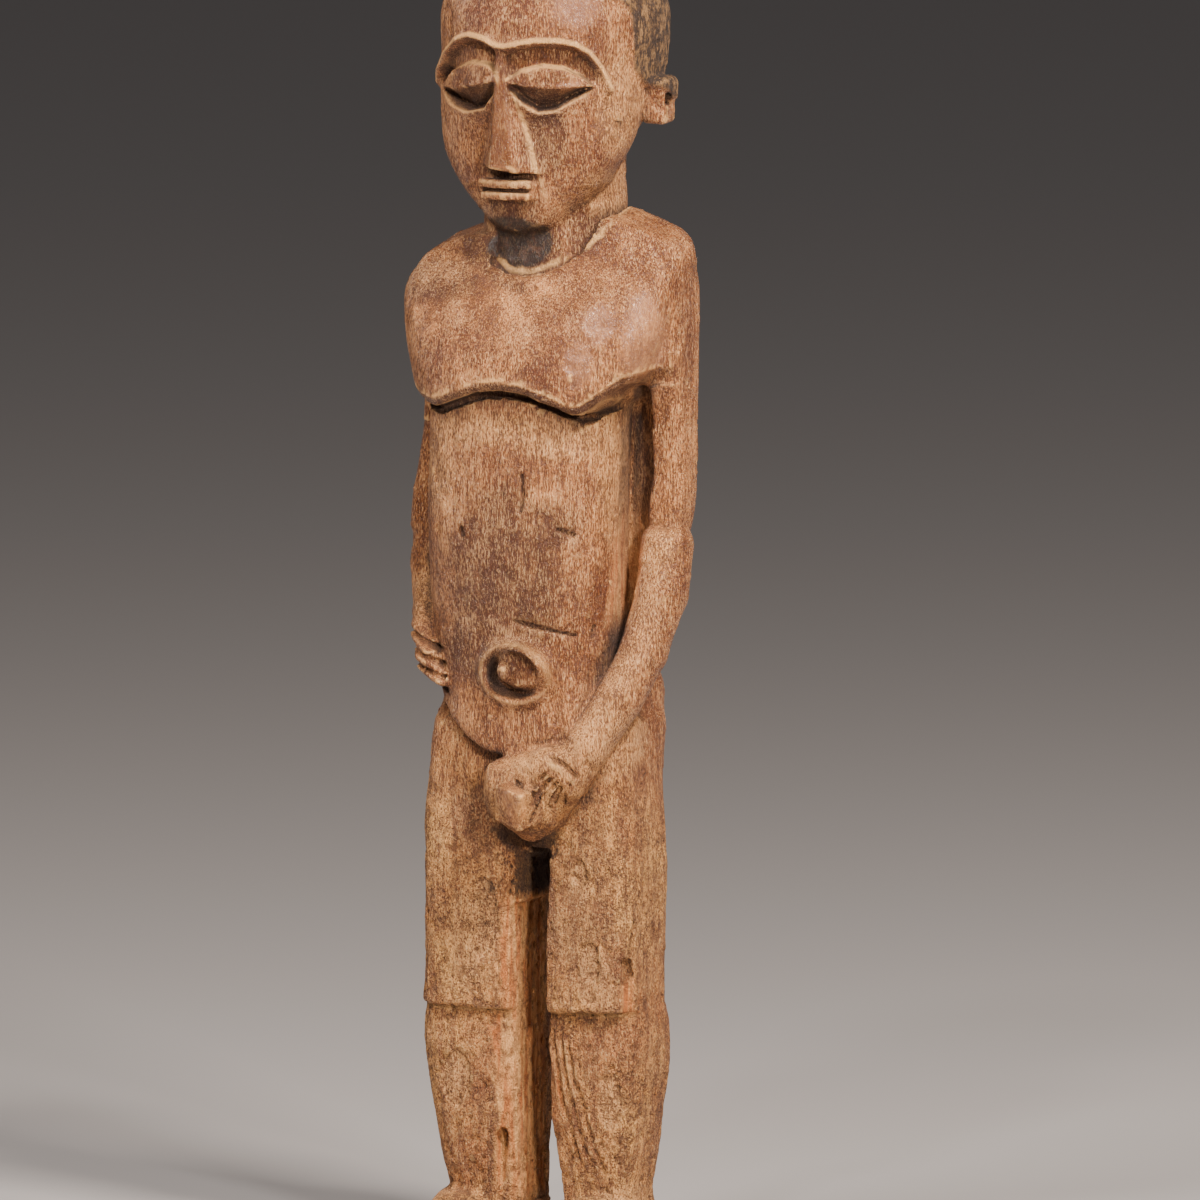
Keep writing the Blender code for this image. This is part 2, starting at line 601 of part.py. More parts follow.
def skin(wood):
    """Points and quads of the wood's surface: one point in each cell that the surface crosses."""
    field = wood.field
    inside = field < 0.0
    shape = np.array(field.shape) - 1
    count = np.zeros(shape, dtype=int)
    corners = [(i, j, k) for i in (0, 1) for j in (0, 1) for k in (0, 1)]
    for i, j, k in corners:
        count += inside[i:i + shape[0], j:j + shape[1], k:k + shape[2]]
    crossed = (count > 0) & (count < 8)
    number = np.full(shape, -1)
    cells = np.argwhere(crossed)
    number[crossed] = np.arange(len(cells))
    total = np.zeros((len(cells), 3))
    hits = np.zeros(len(cells))
    for axis in range(3):
        step = np.eye(3, dtype=int)[axis]
        for corner in [c for c in corners if c[axis] == 0]:
            start = cells + corner
            end = start + step
            a = field[start[:, 0], start[:, 1], start[:, 2]]
            b = field[end[:, 0], end[:, 1], end[:, 2]]
            cross = (a < 0) != (b < 0)
            t = a[cross] / (a[cross] - b[cross])
            total[cross] += np.array(corner) + t[:, None] * step
            hits[cross] += 1
    points = wood.low + wood.spacing * (cells + total / hits[:, None])
    quads = []
    for axis in range(3):
        first, second = [a for a in range(3) if a != axis]
        lower = np.moveaxis(inside, axis, 0)[:-1, 1:-1, 1:-1]
        upper = np.moveaxis(inside, axis, 0)[1:, 1:-1, 1:-1]
        for rising in (True, False):
            edges = np.argwhere((lower != upper) & (lower == rising))
            index = np.zeros((len(edges), 3), dtype=int)
            index[:, axis] = edges[:, 0]
            index[:, first] = edges[:, 1] + 1
            index[:, second] = edges[:, 2] + 1
            ring = []
            for df, ds in ((0, 0), (1, 0), (1, 1), (0, 1)):
                cell = index.copy()
                cell[:, first] -= df
                cell[:, second] -= ds
                ring.append(number[cell[:, 0], cell[:, 1], cell[:, 2]])
            if rising == (axis != 1):
                quads.append(np.stack(ring, axis=1))
            else:
                quads.append(np.stack(ring[::-1], axis=1))
    return points, np.concatenate(quads)


def largest_piece(points, quads):
    """Leaves out crumbs and sealed hollows: only the largest joined surface is kept."""
    label = np.arange(len(points))
    while True:
        before = label.copy()
        lowest = label[quads].min(axis=1)
        np.minimum.at(label, quads.ravel(), np.repeat(lowest, 4))
        label = label[label]
        if np.array_equal(before, label):
            break
    values, counts = np.unique(label, return_counts=True)
    kept = label == values[np.argmax(counts)]
    number = np.cumsum(kept) - 1
    return points[kept], number[quads[kept[quads[:, 0]]]]


def relax(points, quads, rounds, amount):
    """Evens out the steps left by the block's spacing."""
    for _ in range(rounds):
        total = np.zeros_like(points)
        count = np.zeros(len(points))
        for i in range(4):
            np.add.at(total, quads[:, i], points[quads[:, (i + 1) % 4]] + points[quads[:, i - 1]])
            np.add.at(count, quads[:, i], 2.0)
        points = points + amount * (total / count[:, None] - points)
    return points


def wood_material():
    material = bpy.data.materials.new("carved_wood")
    material.use_nodes = True
    surface = material.node_tree.nodes["Principled BSDF"]
    surface.inputs["Base Color"].default_value = (0.36, 0.19, 0.10, 1.0)
    surface.inputs["Roughness"].default_value = 0.5
    return material


def fine_share(points):
    """Where small faces stay when the skin is thinned: 1 at the eyes, the mouth and the hands."""
    spots = ((0, -70, 905, 62, 34), (-5, -75, 820, 36, 22), (20, -90, 352, 40, 26),
             (-85, -40, 452, 30, 34), (5, -76, 446, 36, 28))
    share = np.zeros(len(points))
    for x, y, z, wide, tall in spots:
        gap = np.hypot((points[:, 0] - x) / wide, (points[:, 2] - z) / tall)
        near = ramp(-gap, -1.2, -0.8) * ramp(-points[:, 1], -y - 50.0, -y - 40.0)
        share = np.maximum(share, near)
    return share


def make_object(name, points, quads, share):
    mesh = bpy.data.meshes.new(name)
    mesh.from_pydata(points.tolist(), [], quads.tolist())
    mesh.update()
    mesh.shade_smooth()
    mesh.materials.append(wood_material())
    figure = bpy.data.objects.new(name, mesh)
    bpy.context.scene.collection.objects.link(figure)
    group = figure.vertex_groups.new(name="coarse")
    for level in (0, 1, 2, 3, 4):
        members = np.flatnonzero(np.round(share * 4) == level)
        group.add(members.tolist(), 1.0 - FINE_WEIGHT * level / 4, "REPLACE")
    thin = figure.modifiers.new("fewer_faces", "DECIMATE")
    thin.ratio = TRIANGLES / (2.0 * len(quads))
    thin.vertex_group = "coarse"
    thin.vertex_group_factor = 1.0
    return figure


def carve():
    wood = Block(BLOCK_LOW, BLOCK_HIGH, SPACING)
    for step in (base_and_feet, legs, hips, leg_gap, torso, chest, collar, head, face, nose_and_mouth,
                 ears, hair, left_arm, right_arm, armpits, navel, right_hand,
                 groin_and_left_hand, splits):
        step(wood)
    return wood


def main():
    for item in list(bpy.data.objects):
        bpy.data.objects.remove(item, do_unlink=True)
    wood = carve()
    flat_underside(wood)
    mend_corners(wood.field)
    points, quads = largest_piece(*skin(wood))
    points = relax(points, quads, 2, 0.4)
    points[:, 2] = np.where(points[:, 2] < 1.5, 0.0, points[:, 2])
    share = fine_share(points)
    middle = (points.min(axis=0) + points.max(axis=0)) * 0.5
    points[:, :2] -= middle[:2]
    make_object("figure", points * PART, quads, share)


main()
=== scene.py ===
import math

import bpy
import numpy as np
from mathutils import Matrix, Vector


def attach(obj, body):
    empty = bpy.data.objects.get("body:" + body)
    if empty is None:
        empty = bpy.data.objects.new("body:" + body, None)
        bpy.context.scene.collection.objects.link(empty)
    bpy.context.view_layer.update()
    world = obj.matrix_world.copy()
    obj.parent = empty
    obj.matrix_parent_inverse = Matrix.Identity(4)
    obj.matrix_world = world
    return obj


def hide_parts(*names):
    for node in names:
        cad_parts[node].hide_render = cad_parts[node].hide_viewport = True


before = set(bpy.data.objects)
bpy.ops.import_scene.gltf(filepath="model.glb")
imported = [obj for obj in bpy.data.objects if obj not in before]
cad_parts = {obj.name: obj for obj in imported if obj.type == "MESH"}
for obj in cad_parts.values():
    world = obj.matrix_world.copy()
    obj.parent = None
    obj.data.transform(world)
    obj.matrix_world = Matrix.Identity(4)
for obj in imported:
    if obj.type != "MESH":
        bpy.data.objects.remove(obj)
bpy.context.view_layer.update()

# Overall sizes, metres
HEIGHT = 0.680
PART = HEIGHT / 1000.0
BASE_HEIGHT = 0.011
BASE_HALF_WIDTH = 0.062
BASE_FRONT = -0.062
BASE_BACK = 0.044

# Most triangles of the dressed figure
TRIANGLES = 192000

# Fineness of the block of points, and its corners, parts
SPACING = 1.5
BLOCK_LOW = (-134.0, -122.0, -9.75)
BLOCK_HIGH = (134.0, 104.0, 1006.0)

# Driving sizes of the carving, parts
LEG_GAP = 21.0
CROTCH = 318.0
KNEE = 183.0
BELLY_BOTTOM = 381.0
NAVEL = (5.0, 446.0)
ELBOW = 556.0
CHEST_LEDGE = 658.0
HEAD_AXIS_X = -0.5
HEAD_AXIS_Y = 9.0
HEAD_TURN = math.radians(4.0)
BROW_LINE = 921.0
NOSE_BASE = 828.0
LIP_LINE = 813.0

# Values of the field, parts from the skin: open air, and a point that mending fills
OPEN_AIR = 60.0
JUST_INSIDE = -0.05

# The photograph's view: its side, the column of the figure's axis and the row of the ground, all
# in pixels, then the size of a pixel at the figure and the view's direction and distance
PHOTO_SIZE = 1200
AXIS_COLUMN = 548
GROUND_ROW = 1245
PIXEL = 0.7634 * PART
VIEW_AZIMUTH = math.radians(25.0)
VIEW_HEIGHT = math.radians(6.0)
VIEW_DISTANCE = 12.0

# Half the floor's side, and the height that the lamps point at, metres
FLOOR_HALF = 60.0
LAMPS_AIM = 0.42

# Steps to the corners of a cell, and to a cell and all its neighbours
CELL_CORNERS = [(i, j, k) for i in (0, 1) for j in (0, 1) for k in (0, 1)]
NEIGHBOURS = [(i, j, k) for i in (-1, 0, 1) for j in (-1, 0, 1) for k in (-1, 0, 1)]


def smooth_min(a, b, blend):
    """Lower of two fields, with a fillet of about the given size."""
    if blend <= 0:
        return np.minimum(a, b)
    near = np.maximum(blend - np.abs(a - b), 0.0) / blend
    return np.minimum(a, b) - near * near * blend * 0.25


def smooth_max(a, b, blend):
    return -smooth_min(-a, -b, blend)


def ramp(value, start, end):
    """0 before start, 1 after end, smooth between."""
    t = np.clip((value - start) / (end - start), 0.0, 1.0)
    return t * t * (3.0 - 2.0 * t)


class Block:
    """The wood as a block of points."""

    def __init__(self, low, high, spacing):
        self.low = np.array(low)
        self.spacing = spacing
        self.axes = [np.arange(low[i], high[i] + spacing, spacing) for i in range(3)]
        self.field = np.full([len(a) for a in self.axes], OPEN_AIR)

    def window(self, low, high):
        """The part of the block between two corners, and the coordinates of its points."""
        cuts = []
        for axis, a, b in zip(self.axes, low, high):
            cuts.append(slice(int(np.searchsorted(axis, a)), int(np.searchsorted(axis, b))))
        x, y, z = [axis[cut] for axis, cut in zip(self.axes, cuts)]
        return tuple(cuts), x[:, None, None], y[None, :, None], z[None, None, :]

    def add(self, shape, low, high, blend=0.0):
        cuts, x, y, z = self.window(low, high)
        self.field[cuts] = smooth_min(self.field[cuts], shape(x, y, z), blend)

    def cut(self, shape, low, high, blend=0.0):
        cuts, x, y, z = self.window(low, high)
        self.field[cuts] = smooth_max(self.field[cuts], -shape(x, y, z), blend)

    def add_limb(self, points, margin, blend, squash=(1.0, 1.0, 1.0)):
        self.add(limb(points, squash), *around(points, margin), blend)

    def cut_limb(self, points, margin, blend, squash=(1.0, 1.0, 1.0)):
        self.cut(limb(points, squash), *around(points, margin), blend)

    def raise_surface(self, relief, low, high):
        """Moves the skin outwards by the relief, inwards where it is negative."""
        cuts, x, y, z = self.window(low, high)
        self.field[cuts] = self.field[cuts] - relief(x, y, z)


def curve(table, z):
    """Smooth curve through the rows of a table, read at heights z; the first column is height."""
    rows = np.array(sorted(table), dtype=float)
    heights = rows[:, 0]
    values = rows[:, 1:]
    slopes = np.gradient(values, heights, axis=0)
    z = np.clip(z, heights[0], heights[-1])
    i = np.clip(np.searchsorted(heights, z) - 1, 0, len(heights) - 2)
    gap = heights[i + 1] - heights[i]
    t = ((z - heights[i]) / gap)[..., None]
    gap = gap[..., None]
    near = (2 * t ** 3 - 3 * t ** 2 + 1) * values[i] + (t ** 3 - 2 * t ** 2 + t) * gap * slopes[i]
    far = (3 * t ** 2 - 2 * t ** 3) * values[i + 1] + (t ** 3 - t ** 2) * gap * slopes[i + 1]
    return np.moveaxis(near + far, -1, 0)


def loft(stations, power=2.4):
    """Upright form through stations (height, centre x, front y, back y, half width)."""
    def shape(x, y, z):
        centre, front, back, half = curve(stations, z)
        depth = np.maximum((back - front) * 0.5, 0.5)
        half = np.maximum(half, 0.5)
        dx = x - centre
        dy = y - (back + front) * 0.5
        distance = np.sqrt(dx * dx + dy * dy) + 1e-6
        reach = ((np.abs(dx) / half) ** power + (np.abs(dy) / depth) ** power) ** (1.0 / power)
        side = distance * (1.0 - 1.0 / np.maximum(reach, 0.05))
        bottom = min(row[0] for row in stations) - z
        top = z - max(row[0] for row in stations)
        return smooth_max(side, np.maximum(bottom, top), 6.0)
    return shape


def limb(points, squash=(1.0, 1.0, 1.0)):
    """Rounded form along points (x, y, z, radius), flattened by squash along each axis."""
    def shape(x, y, z):
        result = None
        for a, b in zip(points[:-1], points[1:]):
            steps = [(b[i] - a[i]) / squash[i] for i in range(3)]
            offsets = [(x - a[0]) / squash[0], (y - a[1]) / squash[1], (z - a[2]) / squash[2]]
            length = max(sum(s * s for s in steps), 1e-9)
            t = np.clip(sum(o * s for o, s in zip(offsets, steps)) / length, 0.0, 1.0)
            gap = sum((o - t * s) ** 2 for o, s in zip(offsets, steps))
            part = np.sqrt(gap) - (a[3] + t * (b[3] - a[3]))
            result = part if result is None else smooth_min(result, part, 3.0)
        return result * min(squash)
    return shape


def box(centre, half, rounding=3.0, turn=(0.0, 0.0, 0.0)):
    """Rounded box, turned about x, then y, then z (degrees)."""
    cx, cy, cz = [(math.cos(math.radians(a)), math.sin(math.radians(a))) for a in turn]

    def shape(x, y, z):
        px, py, pz = x - centre[0], y - centre[1], z - centre[2]
        px, py = px * cz[0] + py * cz[1], -px * cz[1] + py * cz[0]
        px, pz = px * cy[0] - pz * cy[1], px * cy[1] + pz * cy[0]
        py, pz = py * cx[0] + pz * cx[1], -py * cx[1] + pz * cx[0]
        over = [np.abs(p) - (h - rounding) for p, h in zip((px, py, pz), half)]
        outside = np.sqrt(sum(np.maximum(o, 0.0) ** 2 for o in over))
        inside = np.minimum(np.maximum(np.maximum(over[0], over[1]), over[2]), 0.0)
        return outside + inside - rounding
    return shape


def path_distance(u, v, path):
    """Distance in a plane from points (u, v) to a line through the path's points."""
    best = None
    for (au, av), (bu, bv) in zip(path[:-1], path[1:]):
        du, dv = bu - au, bv - av
        t = np.clip(((u - au) * du + (v - av) * dv) / (du * du + dv * dv), 0.0, 1.0)
        gap = np.hypot(u - au - t * du, v - av - t * dv)
        best = gap if best is None else np.minimum(best, gap)
    return best


def bump(distance, width):
    """1 on a line, 0 at the given distance from it."""
    return 1.0 - ramp(distance, 0.0, width)


def around(points, margin):
    """Corners of the box around points, with a margin."""
    low = [min(p[i] for p in points) - margin for i in range(3)]
    high = [max(p[i] for p in points) + margin for i in range(3)]
    return low, high


def height_on(path, places):
    """Height of a line, given as (place, height) points, at places along it."""
    return np.interp(places, [p[0] for p in path], [p[1] for p in path])


def base_and_feet(wood):
    """Low plain base and the two feet on it."""
    top = BASE_HEIGHT / PART
    half = ((BASE_HALF_WIDTH / PART), (BASE_BACK - BASE_FRONT) * 0.5 / PART, top * 0.5 + 5.0)
    centre = (0.0, (BASE_BACK + BASE_FRONT) * 0.5 / PART, top * 0.5 - 5.0)
    wood.add(box(centre, half, 5.0), BLOCK_LOW, (134, 104, 60))
    for side in (-1, 1):
        foot = [(side * 54, 16, 30, 22), (side * 55, -20, 30, 23), (side * 57, -56, 24, 19)]
        wood.add_limb(foot, 50, 8.0, (1.25, 1.0, 0.8))
        for toe in range(4):
            x = side * (38.0 + 12.0 * toe)
            end = -84.0 + 4.0 * toe
            line = [(x, end, 34, 2.2), (x * 0.98, end + 22.0, 40, 2.2)]
            wood.cut_limb(line, 20, 2.0, (0.8, 1.0, 3.0))


# The figure's right leg is a little wider at the knee and the hip, and thinner at the ankle
RIGHT_LEG_HEIGHTS = (46, 100, 182, 215, 290, 330)
RIGHT_LEG_WIDER = (-4.5, 0.0, 4.8, 1.0, 1.0, 4.2)


def leg(side, rows, power, forward=0.0):
    """Loft of one leg through rows (height, outer x, front, back); the inner part is cut later."""
    inner = 6.0
    stations = []
    for h, outer, front, back in rows:
        if side < 0:
            outer += np.interp(h, RIGHT_LEG_HEIGHTS, RIGHT_LEG_WIDER)
        stations.append((h, 2.0 + side * (outer + inner) / 2, front - forward, back, (outer - inner) / 2))
    return loft(stations, power)


def legs(wood):
    """Squared thighs end in a ledge over the knees; rounded calves are set back below it."""
    low, high = (-110, -80, 20), (110, 80, 440)
    calf = ((28, 81, -36, 32), (46, 80, -34, 30), (70, 83, -37, 34), (105, 86, -41, 40),
            (140, 90, -43, 43), (166, 91, -43, 42), (200, 87, -40, 36), (230, 83, -36, 34))
    thigh = ((KNEE, 88, -49, 33), (215, 89, -50, 34), (250, 89, -50, 35), (290, 89, -50, 38),
             (330, 86, -50, 40), (380, 82, -48, 42), (408, 80, -44, 42))
    for side, forward in ((-1, 3.0), (1, 0.0)):
        wood.add(leg(side, calf, 3.4, forward), low, high, blend=3.0)
        upper = leg(side, thigh, 4.2)

        def shape(x, y, z):
            ledge = KNEE - z - 60.0 * ramp(y, -30.0, 0.0) + 0.05 * np.abs(x)
            return smooth_max(upper(x, y, z), ledge, 3.0)
        wood.add(shape, low, high, blend=1.5)


def leg_gap(wood):
    """Upright slot between the legs; broken wider under a deep dark opening at its top."""
    def slot(x, y, z):
        left_wall = np.interp(z, (45, 75, 105, 170, 260, 300), (28, 25, 19.5, 19.5, 21.5, 24))
        right_wall = np.interp(z, (CROTCH - 52, CROTCH - 47), (-LEG_GAP / 2 + 1, 3.0))
        top = CROTCH - 8.0 - 46.0 * ramp(y, 5.0, 25.0)
        return np.maximum(np.maximum(x - left_wall, right_wall - x), z - top)
    wood.cut(slot, (-60, -110, 34), (60, 104, 330), blend=2.0)


def hips(wood):
    """Hips join the thighs above the gap; two buttocks stand out behind."""
    stations = ((CROTCH - 14, 0, -38, 40, 66), (345, -2, -47, 44, 82), (390, -4, -48, 42, 81),
                (430, -1, -40, 40, 78), (470, -1, -32, 34, 74), (500, -3, -26, 28, 72))
    wood.add(loft(stations, 3.0), (-110, -80, 300), (110, 80, 520), blend=8.0)
    for side in (-1, 1):
        seat = [(side * 42 - 3, 34, 424, 35), (side * 42 - 3, 26, 396, 37), (side * 45, 14, 360, 30)]
        wood.add_limb(seat, 60, 10.0, (1.15, 1.0, 1.0))
    cleft = [(0, 76, 430, 4), (0, 66, 330, 5)]
    wood.cut_limb(cleft, 25, 6.0)


def belly_floor(x):
    """Height of the belly's lower edge across the front."""
    return BELLY_BOTTOM + 34.0 * np.abs(x / 62.0) ** 2.2


def torso(wood):
    """Long barrel belly with a flat back; its lower edge stands out over the thighs."""
    stations = ((360, 0, -64, 30, 66), (400, -1, -67, 34, 71), (440, -3, -67, 32, 73),
                (480, -5, -71, 30, 75), (530, -6, -76, 30, 76), (580, -6, -78, 33, 77),
                (630, -5, -78, 38, 77), (700, -2, -70, 44, 78), (730, 0, -50, 40, 70))
    body = loft(stations, 2.5)

    def shape(x, y, z):
        over = belly_floor(x) - z
        floor = over - 60.0 * ramp(y, -30.0, 30.0)
        return smooth_max(body(x, y, z), floor, 7.0)
    wood.add(shape, (-110, -110, 350), (110, 80, 740), blend=2.0)


def ledge_height(x):
    """Height of the chest's lower edge: a peak in the middle and two drooping points."""
    path = ((-130, 664), (-112, 662), (-88, 652), (-70, 645), (-58, 643), (-40, 649), (-20, 656),
            (0, CHEST_LEDGE), (22, 655), (40, 648), (56, 641), (64, 641), (76, 651), (90, 662),
            (104, 668), (130, 671))
    return height_on(path, x)


def shoulder_height(x):
    """Height of the shoulders' top across the figure; its right shoulder is lower and rounder."""
    path = ((-128, 684), (-120, 702), (-112, 727), (-102, 748), (-90, 765), (-76, 774),
            (-58, 781), (0, 790), (50, 798), (66, 798), (82, 792), (98, 786), (112, 777),
            (119, 766), (128, 744))
    return height_on(path, x)


def chest(wood):
    """Chest and shoulders: the front plane leans out to a sharp ledge over the belly."""
    stations = ((590, 2, -80, 34, 80), (620, 2, -86, 38, 83), (645, 2, -90, 41, 88),
                (675, 3, -89, 43, 97), (705, 4, -80, 44, 107), (725, 4, -69, 44, 111),
                (745, 4, -54, 43, 114), (765, 5, -40, 42, 114), (785, 5, -32, 40, 112),
                (806, 5, -28, 38, 108))
    body = loft(stations, 2.7)

    def shape(x, y, z):
        floor = ledge_height(x) - z - 90.0 * ramp(y, -6.0, 30.0)
        top = z - shoulder_height(x) + 0.2 * np.abs(y - 6.0)
        return smooth_max(smooth_max(body(x, y, z), floor, 1.5), top * 0.9, 5.5)
    wood.add(shape, (-134, -110, 560), (134, 80, 820), blend=1.5)

    def spine(x, y, z):
        line = bump(np.abs(x), 22.0) * ramp(y, 10.0, 30.0)
        return -6.0 * line * ramp(z, 440.0, 500.0) * ramp(-z, -770.0, -720.0)
    wood.raise_surface(spine, (-30, 5, 430), (30, 70, 780))


def collar_ring(reach, lift):
    """Points of the collar's rim around the neck: low in front, high behind."""
    ring = []
    for step in range(25):
        angle = math.radians(15.0 * step)
        x = 4.0 + reach * 58.0 * math.sin(angle)
        y = 2.0 - reach * 54.0 * math.cos(angle)
        dip = 34.0 if math.cos(angle) > 0 else 8.0
        z = 778.0 - dip * math.cos(angle) + 4.0 * math.sin(angle) + lift
        ring.append((x, y, z))
    return ring


def collar(wood):
    """The neck stands in a shallow step behind the chest's raised rim."""
    rim = [(x, y, z, 4.5) for x, y, z in collar_ring(1.02, -4.0) if y < 20.0]
    rim = rim[-6:] + rim[:7]
    wood.add_limb(rim, 20, 7.0)
    for lift, radius in ((2.0, 4.0), (10.0, 6.0), (20.0, 8.0), (32.0, 10.0)):
        groove = [(x, y, z, radius) for x, y, z in collar_ring(0.92, lift)]
        groove = groove[-3:] + groove[:9]
        wood.cut_limb(groove, 30, 1.5)
    stations = ((700, 4, -36, 40, 50), (745, 4, -42, 43, 53), (770, 4, -41, 47, 54),
                (790, 4, -39, 51, 55), (830, 2, -38, 58, 53), (870, 2, -38, 66, 56))
    wood.add(loft(stations, 2.2), (-80, -80, 690), (90, 100, 880), blend=3.0)


def head_frame(x, y):
    """Coordinates turned with the head: across the face, and forward from the head's axis."""
    dx, dy = x - HEAD_AXIS_X, y - HEAD_AXIS_Y
    across = dx * math.cos(HEAD_TURN) - dy * math.sin(HEAD_TURN)
    forward = -(dx * math.sin(HEAD_TURN) + dy * math.cos(HEAD_TURN))
    return across, forward


def face_angle(x, y):
    """Angle around the head from the middle of the face, degrees, positive to its left."""
    across, forward = head_frame(x, y)
    return np.degrees(np.arctan2(across, forward))


def head_loft(stations, power):
    """Loft in the head's own turned frame: (height, centre, front, back, half width)."""
    body = loft([(h, c, -f, -b, w) for h, c, f, b, w in stations], power)

    def shape(x, y, z):
        across, forward = head_frame(x, y)
        return body(across, -forward, z)
    return shape


HEAD_BOX = ((-110, -100, 760), (115, 104, 1006))


def head(wood):
    """Egg of the skull, and the face below it tapering to a short chin."""
    skull = ((834, 0, 40, -58, 40), (850, 0, 60, -70, 57), (868, 0, 74, -78, 70),
             (890, 0, 80, -84, 79), (920, 0, 83, -88, 83), (950, 0, 82, -88, 82),
             (972, 0, 73, -82, 74), (986, 0, 56, -64, 58), (994, 0, 36, -40, 38),
             (997, 0, 12, -14, 14))
    wood.add(head_loft(skull, 2.15), *HEAD_BOX, blend=6.0)
    mask = ((778, 0, 54, 36, 14), (784, 0, 58, 24, 26), (796, 0, 61, 8, 40), (815, 0, 64, -6, 59),
            (842, 0, 66, -18, 75), (870, 0, 70, -40, 80), (900, 0, 74, -50, 80))
    wood.add(head_loft(mask, 2.3), *HEAD_BOX, blend=6.0)


# Lines of the face: angle around the head, degrees (negative to its right), and height
BROW = ((-61, 890), (-53, 901), (-40, 915), (-28, 926), (-18, 930), (-9, 928), (-2, 923),
        (4, 922), (12, 925), (20, 927), (33, 927), (41, 924), (48, 918), (55, 906), (60, 890))
LID_TOP = ((-55, 888), (-48, 896), (-34, 906), (-20, 912), (-8, 911), (-3, 905), (0, 898),
           (4, 900), (12, 907), (24, 911), (36, 909), (45, 903), (53, 894))
LID_EDGE = ((-55, 887), (-48, 888), (-30, 889), (-17, 892), (-7, 895), (0, 896),
            (4, 895), (14, 893), (24, 892), (36, 892), (47, 893), (53, 893))
EYE_BOTTOM = ((-55, 887), (-42, 876), (-28, 872), (-13, 876), (-5, 887), (0, 896),
              (4, 892), (12, 881), (21, 874), (32, 876), (41, 884), (53, 893))
DEGREE = 1.45


def face(wood):
    """Brow ledges, and eyes with bulging lids over hollows that cut back under them."""
    brow = [(angle * DEGREE, height) for angle, height in BROW]

    def relief(x, y, z):
        angle = face_angle(x, y)
        front = ramp(-np.abs(angle), -72.0, -62.0)
        ridge = path_distance(angle * DEGREE, z, brow)
        result = 4.5 * bump(ridge, 5.0)
        brow_height = height_on(BROW, angle)
        top, edge = height_on(LID_TOP, angle), height_on(LID_EDGE, angle)
        bottom = height_on(EYE_BOTTOM, angle)
        socket = ramp(brow_height - 2.0 - z, 0.0, 4.0) * ramp(z - bottom, -3.0, 2.0)
        socket = socket * ramp(-np.abs(angle + 1.0), -57.0, -50.0)
        result = result - 6.5 * socket
        almond = ramp(np.minimum(top - z, z - bottom), 0.0, 2.5)
        result = result + almond * (7.5 * ramp(top - z, -1.0, 5.0) + 1.5 * ramp(edge + 4.0 - z, 0.0, 4.0))
        under = np.clip((edge - z) / np.maximum(edge - bottom, 1.0), 0.0, 1.0)
        result = result - almond * 17.0 * under ** 0.75
        rim = bump(np.abs(z - bottom + 2.5), 3.5) * ramp(edge - bottom, 3.0, 8.0)
        return (result + 1.5 * rim) * front
    wood.raise_surface(relief, *HEAD_BOX)


def nose_and_mouth(wood):
    """Long wedge of a nose with a narrow flat front and a flat base, and two thin straight lips."""
    def nose(x, y, z):
        across, forward = head_frame(x, y)
        across = across - 0.5
        down = np.clip((BROW_LINE + 4.0 - z) / (BROW_LINE + 4.0 - NOSE_BASE), 0.0, 1.0)
        half = 2.5 + 8.0 * down ** 1.3
        spread = 4.0 + 12.0 * down
        reach = 84.5 - 3.5 * down
        side = ((np.abs(across) - half) * 17.0 + (forward - reach) * spread) / np.hypot(17.0, spread)
        ends = np.maximum(NOSE_BASE - z - 0.12 * across, z - BROW_LINE - 2.0)
        return smooth_max(smooth_max(side, forward - reach, 1.0), np.maximum(ends, 30.0 - forward), 1.0)
    wood.add(nose, (-60, -100, 800), (60, -20, 930), blend=1.5)

    def lip(height, thick, reach, half=22.0):
        def shape(x, y, z):
            across, forward = head_frame(x, y)
            across = across + 2.0
            side = np.abs(across) - half
            roof = forward - reach + 0.006 * across ** 2
            ends = np.abs(z - height) - thick
            return smooth_max(np.maximum(side, ends), np.maximum(roof, 30.0 - forward), 1.0)
        return shape
    wood.add(lip(LIP_LINE + 4.6, 3.6, 76.0), (-60, -100, 790), (60, -20, 840), blend=1.0)
    wood.add(lip(LIP_LINE - 4.6, 3.2, 74.5, 21.0), (-60, -100, 790), (60, -20, 840), blend=1.0)
    wood.add(lip(LIP_LINE, 6.5, 70.0), (-60, -100, 790), (60, -20, 840), blend=1.5)


def ears(wood):
    """Small blocks with a rounded outer rim around a cut hollow, flat underneath."""
    for side in (-1, 1):
        turn = math.degrees(-HEAD_TURN)
        x = HEAD_AXIS_X + side * 85.0 * math.cos(HEAD_TURN)
        y = HEAD_AXIS_Y + 15.0 - side * 85.0 * math.sin(HEAD_TURN)
        low, high = (-125, -30, 850), (125, 60, 905)
        wood.add(box((x, y, 878), (10, 13, 17), 4.0, (0, 0, turn + side * 12)), low, high, blend=1.5)
        wood.cut(box((x + side * 8, y - 3, 882), (5, 6, 6), 2.0, (0, 0, turn + side * 12)), low, high, 1.5)
        notch = [(x + side * 14, y - 14, 869, 3.5), (x + side * 3, y - 14, 876, 3.0)]
        wood.cut_limb(notch, 12, 1.0)


# Edge of the hair: angle from the middle of the face, degrees, and height
HAIRLINE = ((0, 972), (40, 968), (66, 960), (74, 948), (77, 903), (84, 895), (100, 880), (180, 860))


def hair(wood):
    """Slightly raised cap of hair with an upright front edge at the temples."""
    def relief(x, y, z):
        line = height_on(HAIRLINE, np.abs(face_angle(x, y)))
        return 2.5 * ramp(z - line, -1.5, 2.5)
    wood.raise_surface(relief, *HEAD_BOX)


